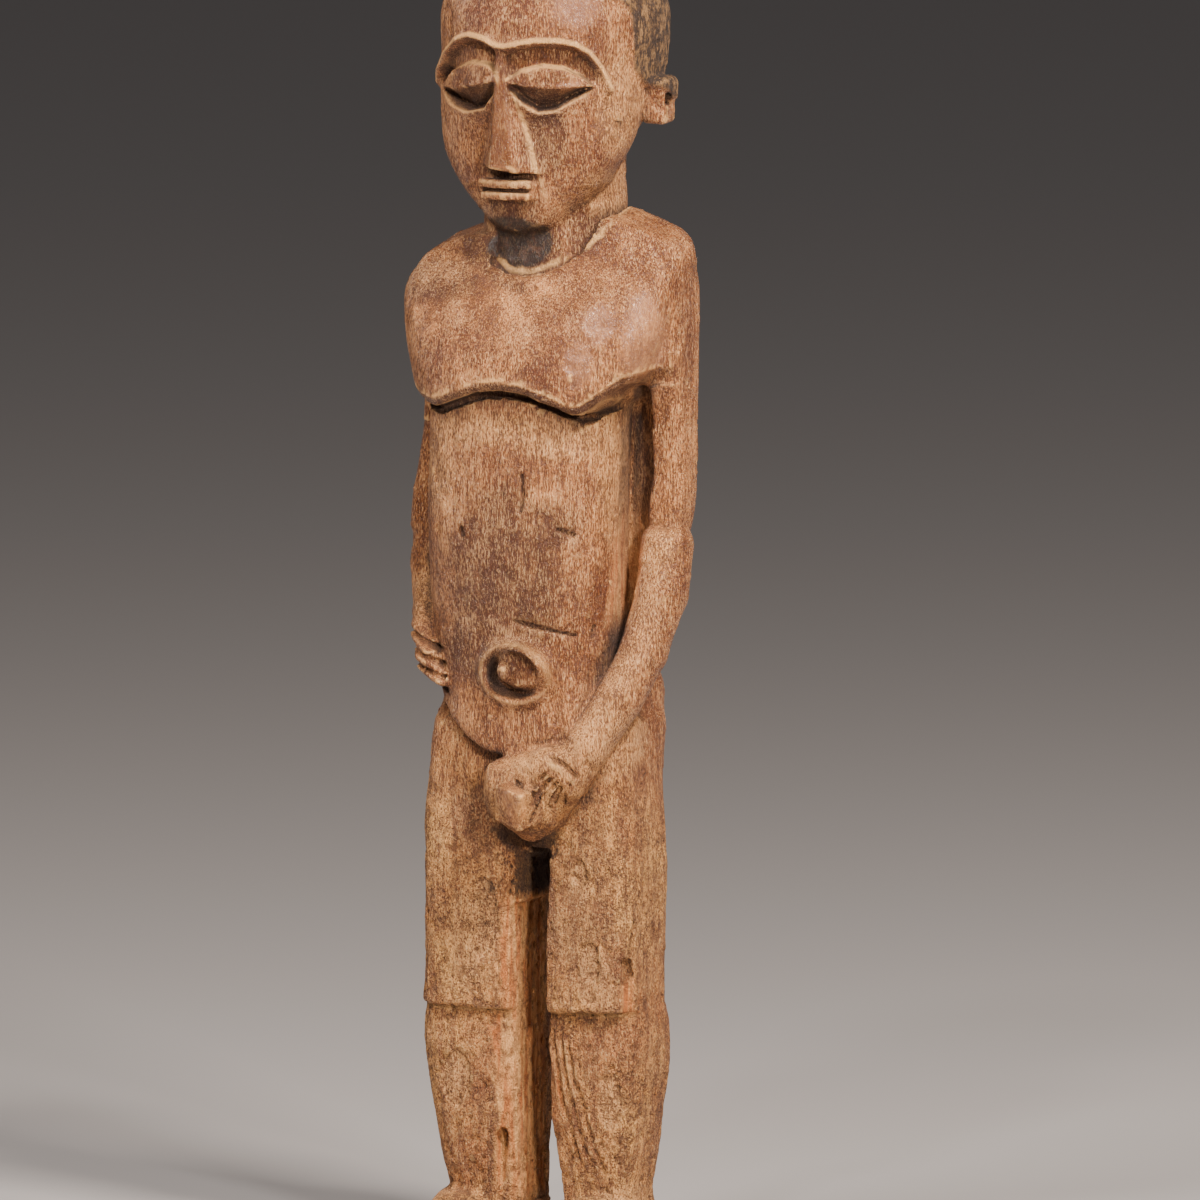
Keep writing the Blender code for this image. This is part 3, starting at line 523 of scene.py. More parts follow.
def left_arm(wood):
    """Upper arm hangs free of the side; the thicker forearm lies across the hip to the groin."""
    upper = ((775, 100, -16, 26, 12), (748, 102, -20, 29, 15), (715, 104, -24, 27, 15.5),
             (690, 105, -26, 24, 15),
             (640, 106, -18, 22, 13.5), (600, 105, -15, 22, 14), (570, 103, -15, 20, 15),
             (548, 101, -12, 16, 14))
    wood.add(loft(upper, 3.6), (60, -60, 540), (134, 60, 760), blend=5.0)
    forearm = [(102, -4, ELBOW - 14, 20.5), (101, -12, 506, 20), (93, -28, 462, 18),
               (80, -42, 428, 18), (60, -55, 392, 17), (44, -60, 364, 16)]

    def shape(x, y, z):
        return smooth_max(limb(forearm)(x, y, z), z - ELBOW, 2.0)
    wood.add(shape, *around(forearm, 34), blend=2.0)


def right_arm(wood):
    """The right arm stays close to the side; its hand lies on the side of the belly."""
    upper = ((715, -94, -14, 28, 16), (670, -91, -10, 24, 14), (637, -90, -10, 24, 13),
             (600, -93, -12, 24, 14), (565, -97, -16, 22, 14.5), (545, -97, -18, 16, 14.5))
    wood.add(loft(upper, 3.0), (-134, -50, 540), (-60, 60, 730), blend=6.0)
    forearm = [(-96, 0, 562, 14.5), (-96, -6, 520, 14.5), (-90, -16, 484, 14.5), (-80, -28, 462, 13)]
    wood.add_limb(forearm, 34, 3.0)


def armpits(wood):
    """Deep gaps cut from the front between the arms and the torso."""
    web = [(84, 14, 668, 15), (84, 13, 580, 15), (80, 11, 510, 13), (70, 8, 470, 10)]
    wood.add_limb(web, 34, 6.0, (1.5, 0.85, 1.0))
    for y in (-60, -44, -28, -14):
        line = [(87, y, 656, 8), (87, y, 600, 7), (85, y, 562, 4)]
        wood.cut_limb(line, 24, 2.0, (0.85, 1.6, 1.0))
    for y in (-50, -34, -18):
        line = [(-78, y, 640, 4), (-79, y, 600, 4), (-81, y, 540, 4), (-81, y - 4, 500, 3)]
        wood.cut_limb(line, 24, 2.0, (0.8, 1.6, 1.0))


def navel(wood):
    """Raised ring; inside it a boss fills the upper left of the figure, with a pointed nub."""
    def relief(x, y, z):
        dx, dz = (x - NAVEL[0]) / 1.25, z - NAVEL[1]
        radius = np.hypot(dx, dz)
        front = ramp(-y, 20.0, 40.0)
        ring = 5.0 * bump(np.abs(radius - 22.0), 8.0)
        hollow = -7.0 * ramp(-radius, -21.0, -15.0)
        boss = 13.0 * ramp(-np.hypot(dx - 5.0, dz - 4.5), -21.0, -13.0)
        nub = 8.0 * ramp(-np.hypot((dx + 5.0) * 1.3, (dz - 1.0) * 0.8), -9.0, -2.0)
        return (ring + hollow + boss + nub) * front
    wood.raise_surface(relief, (-50, -114, 400), (50, -30, 480))


def right_hand(wood):
    """The right hand lies flat on the side of the belly; four slanting cuts part its fingers."""
    palm = [(-91, -16, 500, 12), (-84, -34, 472, 13), (-74, -47, 452, 13), (-63, -55, 436, 7)]
    wood.add_limb(palm, 34, 2.0, (1.0, 1.25, 1.0))

    def fingers(x, y, z):
        below = 474.0 - 0.42 * (x + 98.0) - z
        nearest = np.abs(below - 9.5 * np.clip(np.round(below / 9.5), 0, 3))
        reach = ramp(-x - 0.3 * (z - 476.0), 66.0, 71.0) * ramp(-y, 16.0, 24.0)
        return -3.6 * bump(nearest, 3.6) * reach
    wood.raise_surface(fingers, (-116, -84, 420), (-58, -8, 490))


def groin_and_left_hand(wood):
    """Left hand over the groin: a blunt rounded mass, a faceted knob and short cut fingers."""
    crease = [(-36, -62, 384, 6), (-34, -60, 356, 7), (-24, -58, 328, 8), (2, -56, 306, 8),
              (36, -56, 312, 8), (56, -56, 338, 6)]
    wood.cut_limb(crease, 20, 3.0)
    mass = [(24, -52, 362, 27), (9, -56, 353, 29), (14, -52, 344, 25), (12, -52, 328, 12)]
    wood.add_limb(mass, 50, 1.5, (1.15, 1.0, 1.0))
    back = [(50, -58, 382, 14), (30, -68, 376, 14), (-6, -66, 366, 14)]
    wood.add_limb(back, 30, 4.0)
    knob = box((14, -81, 348), (14, 13, 15), 1.5, (12, 14, -20))
    wood.add(knob, (-30, -114, 310), (40, -50, 380), blend=0.8)

    def fingers(x, y, z):
        along = x - 30.0 - 0.55 * (z - 356.0)
        nearest = np.abs(along - 6.0 * np.clip(np.round(along / 6.0), 0, 3))
        reach = ramp(z, 346.0, 349.0) * ramp(-z, -367.0, -363.0) * ramp(-y, 54.0, 62.0)
        return -3.5 * bump(nearest, 2.6) * reach
    wood.raise_surface(fingers, (16, -114, 340), (72, -44, 374))


def splits(wood):
    """Old holes and slots in the legs."""
    slots = (((85, -44, 226, 3.8), (86, -43, 216, 3.4), (86, -42, 184, 2.6)),
             ((-20, -42, 88, 5.0), (-21, -40, 72, 3.4), (-22, -40, 52, 3.0)))
    for slot in slots:
        wood.cut_limb(slot, 24, 1.0, (1.0, 2.4, 1.0))


def flat_underside(wood):
    """Nothing reaches below the ground."""
    wood.field = np.maximum(wood.field, -wood.axes[2][None, None, :])


def mend_corners(field):
    """Fills points where two bits of wood, or two hollows, would touch only at an edge or corner."""
    for _ in range(20):
        mended = 0
        for first, second in ((0, 1), (0, 2), (1, 2)):
            view = np.moveaxis(field, (first, second), (0, 1))
            a, b = view[:-1, :-1], view[1:, 1:]
            c, d = view[1:, :-1], view[:-1, 1:]
            crossed = (a < 0) & (b < 0) & (c >= 0) & (d >= 0)
            c[crossed] = JUST_INSIDE
            other = (a >= 0) & (b >= 0) & (c < 0) & (d < 0)
            a[other] = JUST_INSIDE
            mended += int(crossed.sum() + other.sum())
        mended += mend_diagonals(field)
        if mended == 0:
            break


def mend_diagonals(field):
    """The same for the four long diagonals of each cell."""
    near, far = slice(None, -1), slice(1, None)
    mended = 0
    for i, j in ((near, near), (far, near), (near, far), (far, far)):
        ni = far if i is near else near
        nj = far if j is near else near
        a, b = field[i, j, near], field[ni, nj, far]
        rest = [field[ni, j, near], field[i, nj, near], field[ni, nj, near],
                field[i, j, far], field[ni, j, far], field[i, nj, far]]
        emptied = np.logical_and.reduce([r >= 0 for r in rest]) & (a < 0) & (b < 0)
        filled = np.logical_and.reduce([r < 0 for r in rest]) & (a >= 0) & (b >= 0)
        rest[0][emptied] = JUST_INSIDE
        a[filled] = JUST_INSIDE
        mended += int(emptied.sum() + filled.sum())
    return mended


def skin(wood):
    """Points and quads of the wood's surface: one point in each cell that the surface crosses."""
    field = wood.field
    inside = field < 0.0
    shape = np.array(field.shape) - 1
    count = np.zeros(shape, dtype=int)
    for i, j, k in CELL_CORNERS:
        count += inside[i:i + shape[0], j:j + shape[1], k:k + shape[2]]
    crossed = (count > 0) & (count < 8)
    number = np.full(shape, -1)
    cells = np.argwhere(crossed)
    number[crossed] = np.arange(len(cells))
    total = np.zeros((len(cells), 3))
    hits = np.zeros(len(cells))
    for axis in range(3):
        step = np.eye(3, dtype=int)[axis]
        for corner in [c for c in CELL_CORNERS if c[axis] == 0]:
            start = cells + corner
            end = start + step
            a = field[start[:, 0], start[:, 1], start[:, 2]]
            b = field[end[:, 0], end[:, 1], end[:, 2]]
            cross = (a < 0) != (b < 0)
            t = a[cross] / (a[cross] - b[cross])
            total[cross] += np.array(corner) + t[:, None] * step
            hits[cross] += 1
    points = wood.low + wood.spacing * (cells + total / hits[:, None])
    quads = []
    for axis in range(3):
        first, second = [a for a in range(3) if a != axis]
        lower = np.moveaxis(inside, axis, 0)[:-1, 1:-1, 1:-1]
        upper = np.moveaxis(inside, axis, 0)[1:, 1:-1, 1:-1]
        for rising in (True, False):
            edges = np.argwhere((lower != upper) & (lower == rising))
            index = np.zeros((len(edges), 3), dtype=int)
            index[:, axis] = edges[:, 0]
            index[:, first] = edges[:, 1] + 1
            index[:, second] = edges[:, 2] + 1
            ring = []
            for df, ds in ((0, 0), (1, 0), (1, 1), (0, 1)):
                cell = index.copy()
                cell[:, first] -= df
                cell[:, second] -= ds
                ring.append(number[cell[:, 0], cell[:, 1], cell[:, 2]])
            if rising == (axis != 1):
                quads.append(np.stack(ring, axis=1))
            else:
                quads.append(np.stack(ring[::-1], axis=1))
    return points, np.concatenate(quads)


def largest_piece(points, quads):
    """Leaves out crumbs and sealed hollows: only the largest joined surface is kept."""
    label = np.arange(len(points))
    while True:
        before = label.copy()
        lowest = label[quads].min(axis=1)
        np.minimum.at(label, quads.ravel(), np.repeat(lowest, 4))
        label = label[label]
        if np.array_equal(before, label):
            break
    values, counts = np.unique(label, return_counts=True)
    kept = label == values[np.argmax(counts)]
    number = np.cumsum(kept) - 1
    return points[kept], number[quads[kept[quads[:, 0]]]]


def relax(points, quads, rounds, amount):
    """Evens out the steps left by the block's spacing."""
    for _ in range(rounds):
        total = np.zeros_like(points)
        count = np.zeros(len(points))
        for i in range(4):
            np.add.at(total, quads[:, i], points[quads[:, (i + 1) % 4]] + points[quads[:, i - 1]])
            np.add.at(count, quads[:, i], 2.0)
        points = points + amount * (total / count[:, None] - points)
    return points


def carve():
    wood = Block(BLOCK_LOW, BLOCK_HIGH, SPACING)
    for step in (base_and_feet, legs, hips, leg_gap, torso, chest, collar, head, face,
                 nose_and_mouth, ears, hair, left_arm, right_arm, armpits, navel, right_hand,
                 groin_and_left_hand, splits):
        step(wood)
    ledge_bevel(wood)
    flat_underside(wood)
    mend_corners(wood.field)
    return wood


def ledge_bevel(wood):
    """Narrow slanted face cut along the chest's lower edge."""
    def relief(x, y, z):
        over = z - ledge_height(x)
        return -7.0 * ramp(-over, -12.0, 0.0) * ramp(over, -2.0, -0.5) * ramp(-y, 14.0, 30.0)
    wood.raise_surface(relief, (-120, -112, 630), (120, -10, 690))


def corner_share(t, corner):
    """How much a cell's corner counts at places t inside the cell."""
    i, j, k = corner
    return np.abs(1 - i - t[:, 0]) * np.abs(1 - j - t[:, 1]) * np.abs(1 - k - t[:, 2])


def scatter(corner, weights, offset, spread):
    """A random value, 0 to 1, for each corner of a lattice."""
    value = np.sin(corner @ np.array(weights) + offset) * spread
    return value - np.floor(value)


def lattice_noise(points, seed):
    """Smooth random values, -1 to 1, at points."""
    cell = np.floor(points)
    t = points - cell
    t = t * t * (3.0 - 2.0 * t)
    total = np.zeros(len(points))
    for corner in CELL_CORNERS:
        value = scatter(cell + corner, (127.1, 311.7, 74.7), seed * 17.3, 43758.5453)
        total += corner_share(t, corner) * value
    return total * 2.0 - 1.0


def fractal(points, seed, octaves=3):
    return sum(lattice_noise(points * 2.0 ** i, seed + i) * 0.5 ** i for i in range(octaves))


def facets(points, size, seed):
    """Shallow flats left by the adze: each patch is a tilted plane, with creases between."""
    scaled = points / np.array(size)
    cell = np.floor(scaled)
    nearest = np.full(len(points), 1e9)
    relief = np.zeros(len(points))
    for step in NEIGHBOURS:
        corner = cell + step
        random = [scatter(corner, (12.98, 78.23, 37.71), seed + a * 5.1, 4375.85) for a in range(5)]
        offset = scaled - corner - np.stack(random[:3], axis=1)
        gap = (offset ** 2).sum(axis=1)
        closer = gap < nearest
        nearest = np.where(closer, gap, nearest)
        tilt = (random[3] - 0.5) * (offset[:, 0] + offset[:, 1]) + (random[4] - 0.5) * offset[:, 2]
        relief = np.where(closer, tilt, relief)
    return relief


def vertex_normals(points, quads):
    corners = [points[quads[:, i]] for i in range(4)]
    outward = np.cross(corners[2] - corners[0], corners[3] - corners[1])
    total = np.zeros_like(points)
    for i in range(4):
        np.add.at(total, quads[:, i], outward)
    return total / np.maximum(np.linalg.norm(total, axis=1), 1e-9)[:, None]


def read_field(wood, points):
    """The block's value at points, blended between its own points."""
    place = (points - wood.low) / wood.spacing
    limit = np.array(wood.field.shape) - 1.001
    place = np.clip(place, 0.0, limit)
    cell = place.astype(int)
    t = place - cell
    total = np.zeros(len(points))
    for corner in CELL_CORNERS:
        total += corner_share(t, corner) * wood.field[tuple((cell + corner).T)]
    return total


def hollow_at(wood, points, normals, reach):
    """How far a spot lies in a hollow: 0 on open wood, 1 deep in a cut."""
    return np.clip(1.0 - read_field(wood, points + normals * reach) / reach, 0.0, 1.0)


def bulge(points, normals, edges, rounds):
    """How far each vertex stands out from its smoothed surroundings, parts: ridges are positive."""
    smooth = points
    count = np.bincount(edges.ravel(), minlength=len(points))[:, None]
    for _ in range(rounds):
        total = np.zeros_like(points)
        for axis in range(3):
            total[:, axis] = np.bincount(edges[:, 0], smooth[edges[:, 1], axis], len(points))
            total[:, axis] += np.bincount(edges[:, 1], smooth[edges[:, 0], axis], len(points))
        smooth = 0.5 * smooth + 0.5 * total / count
    return ((points - smooth) * normals).sum(axis=1)


# Gouge marks on the chest: centre x, y, z, width, height and depth, parts
SCOOPS = ((77, -61, 725, 13, 8, 2.2), (74, -68, 714, 12, 8, 2.4), (70, -73, 704, 12, 8, 2.4),
          (65, -77, 694, 12, 8, 2.2), (61, -80, 684, 11, 8, 2.0), (60, -81, 672, 12, 8, 1.6),
          (-30, -66, 720, 16, 12, 1.4), (-10, -70, 700, 16, 14, 1.2), (30, -74, 700, 16, 12, 1.4))

# Patches: centre x, y, z and half sizes x, y, z, parts. The first four polished ones are also smooth
POLISHED = ((102, -46, 702, 13, 30, 34), (16, -98, 349, 12, 12, 15), (-6, -74, 858, 8, 14, 40),
            (52, -58, 962, 18, 26, 26), (74, -66, 714, 13, 14, 16), (62, -78, 684, 11, 12, 16),
            (48, -64, 893, 10, 12, 6))
PEELED = ((-31, -50, 257, 11, 12, 30), (57, -50, 218, 9, 12, 24), (50, -50, 293, 6, 10, 11),
          (-56, -44, 130, 12, 20, 22), (70, -30, 120, 10, 20, 26))
# Darker patches. Those at (-70, -60, 742), (-14, -46, 772) and (-30, -40, 768), on the figure's right
# shoulder and left of the neck, are painted shadow cast by the head; the rest are darker patches.
STAINS_AND_SHADOWS = ((-5, -70, 520, 44, 40, 66), (-20, -70, 462, 40, 40, 26), (34, -60, 560, 20, 40, 20),
          (-70, -60, 742, 40, 50, 16), (-14, -46, 772, 44, 20, 30), (-30, -40, 768, 26, 26, 24),
          (26, -56, 852, 16, 24, 26), (30, -60, 862, 12, 20, 22), (60, 0, 640, 22, 60, 30),
          (46, -36, 786, 16, 14, 20), (-30, -60, 330, 26, 40, 26), (40, -60, 250, 22, 30, 30),
          (0, 80, 700, 60, 40, 60), (0, 80, 900, 70, 40, 60))
# Lighter patches. Those at (74, -40, 600), (56, -10, 812) and (70, -20, 880) are painted highlights on lit
# strips down the figure's left side of the torso, neck and temple; the rest are bleached patches.
PALE_PATCHES_AND_HIGHLIGHTS = ((74, -52, 388, 14, 26, 18), (-6, -70, 632, 66, 30, 12), (44, -66, 625, 34, 30, 14),
        (74, -40, 600, 9, 40, 60), (100, -26, 540, 16, 30, 16), (-86, -20, 500, 14, 30, 30),
        (76, -40, 400, 20, 40, 30), (-45, -49, 238, 14, 20, 34), (66, -49, 205, 12, 20, 26),
        (48, -49, 282, 9, 20, 12), (-80, -40, 44, 16, 40, 10), (80, -40, 44, 16, 40, 10),
        (70, -20, 880, 14, 30, 40), (56, -10, 812, 14, 40, 20), (-60, -60, 600, 16, 30, 30))
SPLIT_FACES = ((87, -38, 196, 7, 12, 16), (-21, -36, 66, 7, 12, 16))
NAVEL_BOSS = ((NAVEL[0] + 6.0, -78.0, NAVEL[1] + 5.0, 20.0, 24.0, 14.0),)
ARMPIT_TOP = ((84, -40, 596, 22, 60, 56),)
# Painted shadow of the chin over the neck's front, painted near black in the material.
NECK_FRONT_CHIN_SHADOW = ((-6, -42, 774, 34, 16, 26),)

# Lines on the surface through points x, y, z, parts
DRYING_CRACKS = (((14, -78, 598), (15, -77, 584), (13, -77, 571)), ((-38, -75, 556), (-37, -75, 550)),
                 ((42, -70, 557), (47, -67, 555), (52, -64, 553)), ((62, -49, 482), (61, -50, 474)),
                 ((90, -35, 256), (89, -36, 251), (88, -38, 242), (88, -40, 232)),
                 ((5, -73, 486), (28, -68, 481), (50, -59, 476)))
HAND_CUTS = (((28, -70, 380), (44, -64, 398)), ((36, -70, 374), (52, -62, 390)),
             ((13, -84, 365), (27, -88, 359), (31, -80, 352), (37, -72, 345)),
             ((27, -82, 361), (35, -81, 371)), ((30, -80, 357), (38, -77, 367)),
             ((33, -78, 353), (43, -76, 364)), ((36, -74, 350), (45, -74, 360)),
             ((39, -77, 385), (50, -75, 378), (57, -72, 370)),
             ((29, -83, 355), (30, -80, 346), (25, -84, 335)))
CRACKS = DRYING_CRACKS + HAND_CUTS
PALE_SCRATCHES = (((106, -34, 712), (107, -36, 662)), ((-30, -78, 474), (0, -80, 470), (40, -76, 466)),
                  ((60, -70, 600), (66, -62, 470)), ((29, -82, 360), (37, -79, 370)),
                  ((32, -80, 356), (41, -76, 366)), ((35, -76, 352), (44, -75, 363)),
                  ((39, -79, 380), (46, -76, 374), (55, -72, 365)), ((18, -92, 362), (30, -88, 357)))
# Line along the left forearm, painted lighter as a highlight.
FOREARM_HIGHLIGHT = ((102, -14, 545), (97, -36, 470), (80, -56, 428), (58, -68, 394), (20, -80, 378))
# Line of painted shadow that the head casts onto the chest below the collar, on the figure's right.
HEAD_SHADOW_ON_SHOULDER = ((-50, -40, 762), (-32, -46, 752), (-14, -54, 743), (6, -61, 739))
COLLAR_LINE = ((-23, -37, 758), (-11, -42, 750), (5, -44, 750), (18, -42, 754),
               (32, -38, 760), (48, -36, 769), (59, -32, 779), (67, -26, 788), (66, 5, 797))


def along_any(points, lines, reach):
    """Soft band beside any of several lines."""
    return np.maximum.reduce([along(points, line, reach) for line in lines])


def cracks(points):
    """Share of the surface, 0 to 1, that lies in a drying crack or a cut on the hand."""
    return ramp(along_any(points, CRACKS, 3.2), 0.15, 0.65)


def peeled(points):
    """Ragged patches on the legs where the outer skin of the wood has come away."""
    return ramp(spot(points, PEELED) + 0.30 * fractal(points / 7.0, 31.0), 0.45, 0.62)


def calf_ridges(points):
    """Curved ridges down the front of the left calf."""
    x, y, z = points.T
    spread = np.clip((178.0 - z) / 135.0, 0.0, 1.0)
    line = 27.0 + 34.0 * spread ** 1.1
    ridged = ramp(x, 8.0, 16.0) * ramp(-y, 10.0, 30.0) * ramp(-z, -178.0, -160.0) * ramp(z, 52.0, 80.0)
    ridged *= ramp(-np.abs(x - line), -18.0, -9.0) * (0.8 + 0.3 * fractal(points / 12.0, 9.0))
    wave = np.abs(np.sin((x - line) * 0.45 + 1.3 * fractal(points / 30.0, 5.0)))
    return 3.4 * (wave - 0.6) * ridged


def tool_marks(points):
    """Relief of the surface itself, parts: adze flats above, weathered grain on the legs."""
    x, y, z = points.T
    legs_share = ramp(-z, -350.0, -290.0)
    relief = 1.5 * facets(points, (17.0, 24.0, 21.0), 3.0) * (1.0 - 0.5 * legs_share)
    relief += 0.35 * facets(points, (8.0, 8.0, 9.0), 8.0)
    relief += 0.55 * fractal(points / np.array((4.5, 4.5, 11.0)), 4.0) * (0.25 + 0.75 * legs_share)
    pits = fractal(points / np.array((3.2, 3.2, 5.0)), 21.0)
    relief -= 1.4 * ramp(pits, 0.30, 0.95) * legs_share
    relief += calf_ridges(points)
    for px, py, pz, width, tall, deep in SCOOPS:
        inside = ((x - px) / width) ** 2 + ((y - py) / 26.0) ** 2 + ((z - pz) / tall) ** 2
        relief -= deep * np.maximum(1.0 - inside, 0.0) * np.clip(0.6 - (z - pz) / tall, 0.0, 1.2)
    relief *= 1.0 - 0.8 * spot(points, POLISHED[:4])
    relief -= 2.6 * cracks(points) + 1.8 * peeled(points)
    return relief * (1.0 - 0.6 * ramp(-z, -24.0, -14.0))


def figure_mesh(points, quads, origin):
    """The skin with its tool marks as a mesh in metres, thinned to the triangles allowed."""
    points, quads = largest_piece(points, quads)
    points = relax(points, quads, 1, 0.35)
    normals = vertex_normals(points, quads)
    on_ground = points[:, 2] < 1.2
    points = points + normals * tool_marks(points)[:, None]
    points[:, 2] = np.where(on_ground, 0.0, np.maximum(points[:, 2], 0.0))
    mesh = bpy.data.meshes.new("carved_figure")
    mesh.from_pydata(((points - origin) * PART).tolist(), [], quads.tolist())
    mesh.update()
    rough = bpy.data.objects.new("rough_figure", mesh)
    bpy.context.scene.collection.objects.link(rough)
    thin = rough.modifiers.new("fewer_faces", "DECIMATE")
    thin.ratio = min(1.0, TRIANGLES / (2.0 * len(quads)))
    graph = bpy.context.evaluated_depsgraph_get()
    final = bpy.data.meshes.new_from_object(rough.evaluated_get(graph))
    bpy.data.objects.remove(rough, do_unlink=True)
    final.name = "carved_figure"
    final.shade_smooth()
    return final


def spot(points, places):
    """Soft patches: 1 within each ellipsoid (centre x, y, z, half sizes x, y, z), 0 well outside."""
    share = np.zeros(len(points))
    for place in places:
        gap = np.linalg.norm((points - place[:3]) / np.array(place[3:]), axis=1)
        share = np.maximum(share, ramp(-gap, -1.35, -0.75))
    return share


def along(points, line, reach):
    """Soft band: 1 on a line through points, 0 at the given distance."""
    share = np.zeros(len(points))
    for start, end in zip(line[:-1], line[1:]):
        start, run = np.array(start, dtype=float), np.subtract(end, start)
        t = np.clip((points - start) @ run / (run @ run), 0.0, 1.0)
        gap = np.linalg.norm(points - start - t[:, None] * run, axis=1)
        share = np.maximum(share, bump(gap, reach))
    return share


def raw_wood(points, normals, depth):
    """Split faces that never took a patina: inside the legs, in the armpit, in the old splits."""
    x, y, z = points.T
    inner_legs = ramp(-np.abs(x - 2.0), -32.0, -27.0) * ramp(-z, -CROTCH + 46.0, -CROTCH + 49.0)
    inner_legs *= ramp(z, 36.0, 46.0) * ramp(normals[:, 0], 0.20, 0.42) * ramp(-y, -22.0, -10.0)
    armpit = ramp(-np.abs(x - 84.0), -20.0, -15.0) * ramp(z, 470.0, 500.0) * ramp(-z, -640.0, -560.0)
    armpit *= 0.6 * ramp(depth, 0.10, 0.35) * ramp(-z, -600.0, -520.0)
    split = spot(points, SPLIT_FACES) * ramp(depth, 0.02, 0.15)
    return np.maximum.reduce([inner_legs, armpit, split])


def face_patina_and_shade(points):
    """Dark patina on the lids and the nose's front, painted shade under the brows, and under the lids dark
    patina with painted shadow.
    """
    x, y, z = points.T
    angle = face_angle(x, y)
    across, forward = head_frame(x, y)
    top, edge = height_on(LID_TOP, angle), height_on(LID_EDGE, angle)
    bottom = height_on(EYE_BOTTOM, angle)
    # Under the lids: dark patina with painted shadow.
    eye = ramp(edge + 1.0 - z, 0.0, 3.0) * ramp(z - bottom, -1.0, 2.0) * ramp(edge - bottom, 2.0, 6.0)
    lid = 0.45 * ramp(top - z, 2.0, 8.0) * ramp(z - edge, -2.0, 2.0) * ramp(top - edge, 2.0, 6.0)
    # Painted shade under the brows.
    under_brow = 0.5 * ramp(height_on(BROW, angle) - z, 2.0, 5.0) * ramp(z - top, -1.0, 2.0)
    nose = ramp(-np.abs(across + 0.5), -10.0, -7.5) * ramp(z, 826.0, 836.0) * ramp(-z, -915.0, -880.0)
    nose *= ramp(forward, 66.0, 72.0)
    front = ramp(-np.abs(angle), -70.0, -60.0)
    return front * np.maximum.reduce([eye, lid, under_brow, nose])


def line_near(value, reach):
    """1 where value is 0, 0 at the given distance from it."""
    return bump(np.abs(value), reach)


def rubbed_lines_and_nose_highlight(points):
    """Thin pale lines where edges are rubbed, from the brows down to the ledges over the knees, and a
    painted highlight line beside the nose.
    """
    x, y, z = points.T
    angle = face_angle(x, y)
    across, forward = head_frame(x, y)
    front = ramp(-np.abs(angle), -72.0, -62.0)
    open_eye = ramp(height_on(LID_TOP, angle) - height_on(EYE_BOTTOM, angle), 3.0, 9.0)
    brow = [(a * DEGREE, h) for a, h in BROW]
    lines = [line_near(path_distance(angle * DEGREE, z - 1.5, brow), 3.2),
             line_near(z - height_on(LID_TOP, angle) + 2.0, 2.6) * open_eye,
             0.55 * line_near(z - height_on(EYE_BOTTOM, angle) + 1.6, 2.4) * open_eye]
    face_lines = front * np.maximum.reduce(lines)
    mouth = ramp(-np.abs(across + 2.0), -24.0, -21.0) * ramp(forward, 66.0, 70.0)
    lips = 0.6 * mouth * np.maximum(line_near(z - LIP_LINE - 5.5, 2.2), line_near(z - LIP_LINE + 2.6, 2.2))
    # Painted highlight: a pale line beside the nose on its lit side, to the figure's left.
    slope = across - 10.0 - 0.22 * (889.0 - z)
    nose = line_near(slope, 2.6) * ramp(z, 800.0, 812.0) * ramp(-z, -893.0, -880.0)
    nose = 0.8 * nose * ramp(forward, 40.0, 50.0)
    rim = along(points, COLLAR_LINE, 3.6)
    over = z - ledge_height(x)
    chest_front = ramp(-y, 14.0, 30.0) * ramp(-np.abs(x), -112.0, -104.0)
    ledge = chest_front * np.maximum(0.85 * line_near(over - 12.5, 1.7), 0.5 * line_near(over - 5.0, 1.0))
    radius = np.hypot((x - NAVEL[0]) / 1.25, z - NAVEL[1])
    navel_ring = 0.4 * line_near(radius - 23.0, 3.0) * ramp(-y, 40.0, 55.0)
    knee = 0.6 * line_near(z - KNEE - 2.0, 3.0) * ramp(-y, 20.0, 34.0)
    return np.maximum.reduce([face_lines, lips, nose, rim, ledge, navel_ring, knee])


def mesh_arrays(mesh, origin):
    """A mesh's points in parts, its normals and the two ends of its edges."""
    count = len(mesh.vertices)
    places, normals = np.empty(count * 3), np.empty(count * 3)
    mesh.vertices.foreach_get("co", places)
    mesh.vertices.foreach_get("normal", normals)
    edges = np.empty(len(mesh.edges) * 2, dtype=np.int32)
    mesh.edges.foreach_get("vertices", edges)
    return places.reshape(-1, 3) / PART + origin, normals.reshape(-1, 3), edges.reshape(-1, 2)


def shaded_hollows_and_cracks(points, depth, raised, raw):
    """Painted shade in hollows and concave creases, in the gap's top opening and at the top of the armpit,
    with the dark drying cracks and cuts on the hand.
    """
    x, y, z = points.T
    # Painted shade: darker the deeper a spot lies in a hollow or a concave crease.
    hollow = np.maximum(depth, 0.9 * ramp(-raised, 0.22, 1.1)) * (1.0 - 0.85 * raw)
    hollow = hollow * (1.0 - 0.75 * spot(points, NAVEL_BOSS))
    opening = ramp(-np.abs(x - 2.0), -34.0, -28.0) * ramp(z, CROTCH - 46.0, CROTCH - 43.0)
    opening *= ramp(-z, -CROTCH - 16.0, -CROTCH - 6.0) * ramp(depth, 0.05, 0.25)
    armpit_top = 0.85 * spot(points, ARMPIT_TOP) * ramp(depth, 0.05, 0.3)
    return np.maximum.reduce([hollow, cracks(points), opening, armpit_top])


def worn_edges_and_nose_highlight(points, raised):
    """Sharp edges rubbed pale, pale scratches, and the painted highlight beside the nose."""
    raised_edges = ramp(raised, 0.45, 1.20) * (1.0 - 0.85 * along_any(points, CRACKS, 9.0))
    return np.maximum.reduce([raised_edges, along_any(points, PALE_SCRATCHES, 2.6), rubbed_lines_and_nose_highlight(points)])


